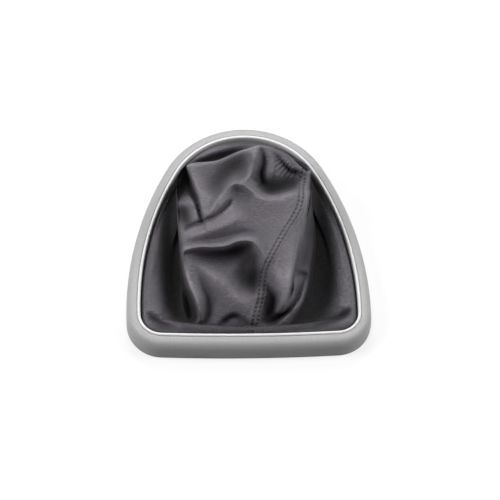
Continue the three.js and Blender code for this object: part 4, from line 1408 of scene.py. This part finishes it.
@dataclass(frozen=True)
class LeatherPanel:
    """One leather panel, from the front seam to the back seam, as a closed shell. Its row counts are the rows
    of points between each two rings. The front seam starts at shares of the foot's rise, and the back seam
    past the foot."""

    shape: BootShape
    side: Side
    seam: SeamRelief = SeamRelief()
    creases: Creasing = Creasing()
    painted_light: LeatherPaintedLight = LeatherPaintedLight()
    thickness: float = 1.2
    seam_band: float = 6.0
    seam_columns: int = 16
    fine_columns: int = 1601
    row_counts: tuple[int, ...] = (3, 5, 6, 8, 10, 13, 18, 20, 30, 32, 34, 33, 28, 24)
    inner_step: int = 3
    front_seam_start: Pair = (0.28, 0.5)
    back_seam_start: float = 0.1
    sharp_angle: float = 70.0

    @classmethod
    def first_row(cls, ring: int) -> int:
        """Number of the row of points at a ring."""
        return sum(cls.row_counts[:ring])

    def rises(self) -> np.ndarray:
        """Rise of each row of points."""
        last = self.shape.ring_count() - 1
        parts = [(ring + np.arange(count) / count) / last for ring, count in enumerate(self.row_counts)]
        return np.concatenate([*parts, [1.0]])

    def column_places(self, length: np.ndarray) -> np.ndarray:
        """Distances from the front seam of each row's columns: close together beside the seams, even between.

        Args:
            length: length of each row from seam to seam.

        Returns:
            Distances by row and column.
        """
        count = self.side.value.columns - 2 * self.seam_columns - 1
        band = np.minimum(self.seam_band, length / 3)[:, None]
        near = band * np.linspace(0.0, 1.0, self.seam_columns + 1)[None, :]
        middle = np.linspace(0.0, 1.0, count)[None, 1:-1]
        even = band + (length[:, None] - 2 * band) * middle
        return np.concatenate([near, even, length[:, None] - near[:, ::-1]], axis=1)

    def laid_out(self, rises: np.ndarray) -> tuple[np.ndarray, np.ndarray, np.ndarray]:
        """The smooth boot at the panel's columns, which run anticlockwise.

        Args:
            rises: rise of each row.

        Returns:
            Points, their distances from the front seam, and the length of each row.
        """
        plan = self.side.value
        dense = self.shape.smooth(np.linspace(plan.front, plan.back, self.fine_columns), rises)
        run = steps_between(dense, axis=1)
        places = self.column_places(run[:, -1] - 2 * self.seam.gap) + self.seam.gap
        base = np.empty(places.shape + (3,))
        for row, axis in np.ndindex(len(rises), 3):
            base[row, :, axis] = np.interp(places[row], run[row], dense[row, :, axis])
        if self.side is Side.LEFT:
            base = base[:, ::-1]
            places = places[:, ::-1]
        return base, places, run[:, -1][:, None]

    def sewn(
        self, rises: np.ndarray, away: dict[Seam, np.ndarray], along: dict[Seam, np.ndarray]
    ) -> tuple[np.ndarray, np.ndarray]:
        """Relief and shade of the two seams.

        Args:
            rises: rise of each row.
            away: distances from each seam's line, by row and column.
            along: distances run along each seam, by row.

        Returns:
            Heights along the surface's normal, and shade from 0 to 1.
        """
        foot = self.shape.foot_rise()
        start, full = (foot * share for share in self.front_seam_start)
        shown = {
            Seam.FRONT: ease(start, full, rises)[:, None],
            Seam.BACK: ease(foot, foot + self.back_seam_start, rises)[:, None],
        }
        relief = sum(shown[seam] * self.seam.height(away[seam], along[seam][:, None]) for seam in Seam)
        shades = {seam: self.seam.shade(away[seam], along[seam][:, None]) for seam in Seam}
        return relief, np.maximum(shades[Seam.FRONT], shown[Seam.BACK] * shades[Seam.BACK])

    def grid(self) -> PanelGrid:
        """Points of the panel: the smooth boot is dragged, folded and wrinkled, rested and then sewn."""
        rises = self.rises()
        base, places, length = self.laid_out(rises)
        base = self.shape.dragged(base, rises)
        normals = grid_normals(base)
        towards = self.shape.view.axes()[2]
        push, painted_lit = self.shape.fold_heights(base, normals, rises)
        creasing = self.creases.height(base, push)
        folded = self.shape.rested(base + towards * push[..., None] + normals * creasing[..., None])
        facing = grid_normals(folded)
        front_column = -1 if self.side is Side.LEFT else 0
        columns = {Seam.FRONT: front_column, Seam.BACK: -1 - front_column}
        away = {Seam.FRONT: places, Seam.BACK: length - places}
        along = {seam: steps_between(folded[:, column], axis=0) for seam, column in columns.items()}
        relief, shade = self.sewn(rises, away, along)
        inner = folded - normals * self.thickness
        return PanelGrid(
            outer=folded + facing * relief[..., None],
            inner=inner[:: self.inner_step, :: self.inner_step],
            normals=facing,
            # painted light: painted highlight on the crests, painted shade in the hollows and where the boot
            # turns from the front
            painted_light=self.painted_light.amount(self.shape, folded, painted_lit, shade) * self.painted_light.kept(normals @ towards),
            away=away,
            along=along,
        )

    def build(self, finish: bpy.types.Material) -> tuple[bpy.types.Object, PanelGrid]:
        """Builds the panel.

        Args:
            finish: its leather.

        Returns:
            The panel's object, and the grid that its seams need.
        """
        grid = self.grid()
        rows, columns = grid.outer.shape[:2]
        inner_rows, inner_columns = grid.inner.shape[:2]
        points = np.concatenate([grid.outer.reshape(-1, 3), grid.inner.reshape(-1, 3)])
        numbers = np.arange(rows * columns).reshape(rows, columns)
        inside = np.arange(rows * columns, len(points)).reshape(inner_rows, inner_columns)
        faces = [
            *grid_quads(rows, columns, 0, False).tolist(),
            *grid_quads(inner_rows, inner_columns, rows * columns, True).tolist(),
            *edge_faces(numbers[:, 0], inside[:, 0], self.inner_step),
            *edge_faces(numbers[::-1, -1], inside[::-1, -1], self.inner_step),
            *edge_faces(numbers[0, ::-1], inside[0, ::-1], self.inner_step),
            *edge_faces(numbers[-1], inside[-1], self.inner_step),
        ]
        name = self.side.value.name
        piece = make_piece(f"{name}_skin", points, faces, sharp=self.sharp_angle)
        inner_painted_light = grid.painted_light[:: self.inner_step, :: self.inner_step]
        paint_points(piece, "painted_light", np.concatenate([grid.painted_light.ravel(), inner_painted_light.ravel()]))
        piece.data.materials.append(finish)
        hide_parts(name)
        return piece, grid


@dataclass(frozen=True)
class StitchRow:
    """A row of stitches: short six-sided capsules that lie half sunk along a line on the leather. A profile
    point is its place as a share of the length, and its thickness and lift as shares of the radius."""

    pitch: float = STITCH_PITCH
    length: float = 1.9
    radius: float = 0.25
    sides: int = 6
    sink: float = 0.02
    profile: tuple[Triple, ...] = (
        (-0.5, 0.12, -0.75), (-0.42, 0.7, -0.3), (-0.2, 1.0, 0.05), (0.0, 1.0, 0.12),
        (0.2, 1.0, 0.05), (0.42, 0.7, -0.3), (0.5, 0.12, -0.75),
    )

    def capsules(
        self, line: np.ndarray, normals: np.ndarray, run: np.ndarray
    ) -> tuple[np.ndarray, np.ndarray]:
        """Points and faces of the stitches of one line. Each end is closed by two quads.

        Args:
            line: points of the line.
            normals: outward normals of the leather there.
            run: distances run along the seam beside it.

        Returns:
            Points and quads.
        """
        first = math.ceil(run[0] / self.pitch)
        count = max(int(run[-1] / self.pitch) - first, 1)
        centres = (first + np.arange(count) + 0.5) * self.pitch
        stations, sizes, lifts = np.array(self.profile).T
        place = centres[:, None] + stations[None, :] * self.length
        size = sizes * self.radius
        lift = lifts * self.radius - self.sink

        def along(values: np.ndarray) -> np.ndarray:
            """Values of the line at the stitches' stations."""
            return np.stack([np.interp(place, run, values[:, axis]) for axis in range(3)], axis=-1)

        middle = along(line)
        up = unit(along(normals))
        forward = unit(np.gradient(middle, axis=1))
        across = unit(np.cross(forward, up))
        middle = middle + up * lift[None, :, None]
        turn = 2 * math.pi * np.arange(self.sides) / self.sides
        ring = (
            across[:, :, None, :] * np.cos(turn)[None, None, :, None]
            + up[:, :, None, :] * np.sin(turn)[None, None, :, None]
        )
        points = middle[:, :, None, :] + ring * size[None, :, None, None]
        number = np.arange(points[..., 0].size).reshape(count, len(stations), self.sides)
        here = number[:, :-1]
        nearby = number[:, 1:]
        quads = np.stack([here, np.roll(here, -1, axis=2), np.roll(nearby, -1, axis=2), nearby], axis=-1)
        ends = np.stack([number[:, 0, ::-1], number[:, -1]], axis=1).reshape(-1, self.sides)
        caps = np.concatenate([ends[:, [0, 1, 2, 3]], ends[:, [3, 4, 5, 0]]])
        return points.reshape(-1, 3), np.concatenate([quads.reshape(-1, 4)[:, ::-1], caps[:, ::-1]])


@dataclass(frozen=True)
class SeamThread:
    """The thread of one seam's double topstitch: a row on each panel beside the seam."""

    seam: Seam
    away: float = SeamRelief.stitch_row
    row: StitchRow = StitchRow()

    def line_on(self, grid: PanelGrid) -> tuple[np.ndarray, np.ndarray]:
        """The line on a panel that keeps the row's distance from the seam.

        Args:
            grid: the panel's grid.

        Returns:
            Points and normals of the line, one for each row of the grid.
        """
        column = int(np.argmin(np.abs(grid.away[self.seam] - self.away).mean(axis=0)))
        return grid.outer[:, column], grid.normals[:, column]

    def build(self, grids: list[PanelGrid], finish: bpy.types.Material) -> bpy.types.Object:
        """Builds the thread.

        Args:
            grids: grids of the two panels.
            finish: the thread's material.

        Returns:
            The thread's object.
        """
        first = LeatherPanel.first_row(self.seam.value.first_ring)
        points, faces, count = [], [], 0
        for grid in grids:
            line, normals = self.line_on(grid)
            made, quads = self.row.capsules(line[first:], normals[first:], grid.along[self.seam][first:])
            points.append(made)
            faces.append(quads + count)
            count += len(made)
        piece = make_piece(self.seam.value.thread, np.concatenate(points), np.concatenate(faces).tolist())
        piece.data.materials.append(finish)
        return piece


@dataclass(frozen=True)
class SurroundFrame:
    """The moulded surround: a rolled wall and a raised lip carried round the outline, open underneath."""

    outline: Outline
    height: float = 15.0
    side_ring: float = 8.0
    end_ring: float = 9.0
    wall: float = 2.0
    lip_radius: float = LIP_RADIUS
    groove_depth: float = 0.55
    groove_width: float = 0.45
    lip_undercut: float = 0.6
    inner_wall_foot: float = 8.0
    fullness: float = 3.0
    clearance: float = 0.3
    stations: int = 480
    wall_steps: int = 26
    lip_steps: int = 14
    sharp_angle: float = 50.0

    def rolled(self, reach: np.ndarray, start: float, height: float, count: int) -> np.ndarray:
        """The rolled wall's section: from the foot to the top along a superellipse.

        Args:
            reach: outer reach at each station.
            start: distance from the lip at which the roll ends.
            height: height of the roll.
            count: number of steps.

        Returns:
            Outward distance and height by station and step.
        """
        turn = np.linspace(0.0, math.pi / 2, count + 1)[None, :]
        bend = 2 / self.fullness
        across = start + (reach[:, None] - start) * np.cos(turn) ** bend
        up = height * np.sin(turn) ** bend
        return np.stack([across, np.broadcast_to(up, across.shape)], axis=-1)

    def section(self, reach: np.ndarray) -> tuple[np.ndarray, np.ndarray]:
        """The ring's section at each station, and which of its points are on the lip.

        Args:
            reach: outer reach at each station.

        Returns:
            Outward distance and height by station and point, and the lip's mask by point.
        """
        lip_centre = self.height - self.lip_radius
        face = self.height - self.groove_depth
        outer = self.rolled(reach, self.lip_radius + self.groove_width, face, self.wall_steps)
        turn = np.linspace(-self.lip_undercut, math.pi, self.lip_steps + 1)
        lip = np.stack([self.lip_radius * np.cos(turn), lip_centre + self.lip_radius * np.sin(turn)], axis=-1)
        foot = np.array([[side * self.lip_radius, self.inner_wall_foot] for side in (-1.0, 1.0)])
        start = self.lip_radius + self.clearance
        inside = self.rolled(reach - self.wall, start, face - self.wall, self.wall_steps)[:, ::-1]
        fixed = np.broadcast_to(np.concatenate([lip, foot]), (len(reach), len(lip) + 2, 2))
        mask = np.zeros(outer.shape[1] + fixed.shape[1] + inside.shape[1])
        mask[outer.shape[1] : outer.shape[1] + len(lip)] = turn > 0.0
        return np.concatenate([outer, fixed, inside], axis=1), mask

    def build(self, finish: bpy.types.Material) -> bpy.types.Object:
        """Builds the surround: each station's section turned to the outline's normal there.

        Args:
            finish: its paint.

        Returns:
            The surround's object.
        """
        share = np.arange(self.stations) / self.stations
        place, normal = self.outline.at(share)
        reach = self.side_ring * normal[:, 0] ** 2 + self.end_ring * normal[:, 1] ** 2
        section, mask = self.section(reach)
        across = place[:, None, :] + normal[:, None, :] * section[..., :1]
        points = np.concatenate([across, section[..., 1:]], axis=-1)
        count = section.shape[1]
        number = np.arange(self.stations * count).reshape(self.stations, count)
        nearby = np.roll(number, -1, axis=0)
        faces = np.stack([number, nearby, np.roll(nearby, -1, axis=1), np.roll(number, -1, axis=1)], axis=-1)
        faces = faces.reshape(-1, 4).tolist()
        piece = make_piece("surround_frame_skin", points.reshape(-1, 3), faces, sharp=self.sharp_angle)
        paint_points(piece, "lip", np.broadcast_to(mask, number.shape))
        piece.data.materials.append(finish)
        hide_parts("surround_frame")
        return piece


@dataclass(frozen=True)
class AreaLight:
    """A softbox: where it stands, how wide it is and how strong. It looks at the part."""

    name: str
    place: Triple
    size: float
    power: float

    def build(self, target: np.ndarray) -> None:
        """Makes the light, turned so that its -Z axis points at the target."""
        data = bpy.data.lights.new(self.name, "AREA")
        data.shape = "DISK"
        data.size = self.size * MM
        data.energy = self.power
        lamp = bpy.data.objects.new(self.name, data)
        bpy.context.scene.collection.objects.link(lamp)
        lamp.matrix_world = aimed(np.array(self.place), target, UPWARDS)


def aimed(place: np.ndarray, target: np.ndarray, up: np.ndarray) -> Matrix:
    """Placement of a camera or lamp that looks from place to target, its top as near to up as can be."""
    back = unit(place - target)
    right = unit(np.cross(up, back))
    top = np.cross(back, right)
    turned = np.eye(4)
    turned[:3, 0], turned[:3, 1], turned[:3, 2] = right, top, back
    turned[:3, 3] = place * MM
    return Matrix(turned.tolist())


@dataclass(frozen=True)
class Studio:
    """Camera, pale floor, backdrop and soft lights."""

    view: View
    lens: float = 135.0
    sensor: float = 36.0
    clip_end: float = 100.0
    frame_shift: Pair = (2.1, -7.8)
    floor_size: float = 6000.0
    floor_drop: float = 0.05
    floor_matt: float = 0.30
    ambient: float = 0.10
    lights: tuple[AreaLight, ...] = (
        AreaLight("top_softbox", (0.0, 60.0, 850.0), 420.0, 0.9),
        AreaLight("back_softbox", (0.0, 580.0, 580.0), 420.0, 3.0),
        AreaLight("left_softbox", (-620.0, -20.0, 560.0), 400.0, 4.2),
        AreaLight("right_softbox", (620.0, 0.0, 540.0), 400.0, 3.3),
    )

    def camera(self) -> None:
        """Makes the camera, moved with its target so that the part lies where the photograph has it."""
        right, up, back = self.view.axes()
        data = bpy.data.cameras.new("camera")
        data.lens = self.lens
        data.sensor_width = self.sensor
        data.clip_end = self.clip_end
        camera = bpy.data.objects.new("camera", data)
        bpy.context.scene.collection.objects.link(camera)
        target = np.array(self.view.centre) + right * self.frame_shift[0] + up * self.frame_shift[1]
        camera.matrix_world = aimed(target + back * self.view.distance, target, up)
        bpy.context.scene.camera = camera

    def floor(self) -> None:
        """Makes the floor: a large square that shows white to the camera and still takes a shadow."""
        half = self.floor_size * MM / 2
        mesh = bpy.data.meshes.new("floor")
        low = -self.floor_drop * MM
        corners = [(-half, -half, low), (half, -half, low), (half, half, low), (-half, half, low)]
        mesh.from_pydata(corners, [], [(0, 1, 2, 3)])
        floor = bpy.data.objects.new("floor", mesh)
        bpy.context.scene.collection.objects.link(floor)
        material, sketch, output = new_material("floor_white")
        path = sketch.add("LightPath")
        shown = sketch.math("MAXIMUM", path.outputs["Is Camera Ray"], path.outputs["Is Glossy Ray"])
        shown = sketch.math("MAXIMUM", shown, path.outputs["Is Transmission Ray"])
        matt = sketch.add("BsdfDiffuse", Color=opaque((self.floor_matt,) * 3))
        shown = sketch.math("MULTIPLY", shown, 1.0 - self.floor_matt)
        glow = sketch.add("Emission", Color=opaque(WHITE), Strength=shown)
        both = sketch.add("AddShader", i0=matt.outputs[0], i1=glow.outputs[0])
        sketch.feed(output.inputs["Surface"], both.outputs[0])
        mesh.materials.append(material)

    def world(self) -> None:
        """Lights the scene softly from all round, and shows white behind it."""
        world = bpy.data.worlds.new("studio")
        world.use_nodes = True
        world.node_tree.nodes.clear()
        sketch = NodeSketch(world.node_tree)
        path = sketch.add("LightPath")
        shown = sketch.math("MAXIMUM", path.outputs["Is Camera Ray"], path.outputs["Is Transmission Ray"])
        strength = sketch.spread(shown, (0.0, 1.0), (self.ambient, 1.0))
        light = sketch.add("Background", Color=opaque(WHITE), Strength=strength)
        output = sketch.add("OutputWorld")
        sketch.feed(output.inputs["Surface"], light.outputs[0])
        bpy.context.scene.world = world

    def build(self) -> None:
        """Makes the whole studio."""
        self.camera()
        self.floor()
        self.world()
        for light in self.lights:
            light.build(np.array(self.view.centre))
        bpy.context.scene.view_settings.view_transform = "Standard"


def dress_retainer(finish: bpy.types.Material) -> None:
    """Gives the hidden ring its plastic."""
    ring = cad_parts["leather_retainer_ring"]
    ring.data.materials.clear()
    ring.data.materials.append(finish)


def main() -> None:
    """Builds the part and its studio."""
    logging.basicConfig(level=logging.INFO, format="%(name)s: %(message)s")
    low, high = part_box("surround_frame")
    outline = Outline(width=(high[0] - low[0]) / MM - 2 * SurroundFrame.side_ring)
    view = View()
    Studio(view).build()
    SurroundFrame(outline).build(PaintFinish().material())
    dress_retainer(PlasticFinish().material())
    shape = BootShape(outline, view)
    leather = LeatherFinish().material()
    thread = ThreadFinish().material()
    panels = [LeatherPanel(shape, side).build(leather) for side in Side]
    grids = [grid for _, grid in panels]
    threads = [SeamThread(seam).build(grids, thread) for seam in Seam]


if __name__ == "__main__":
    main()
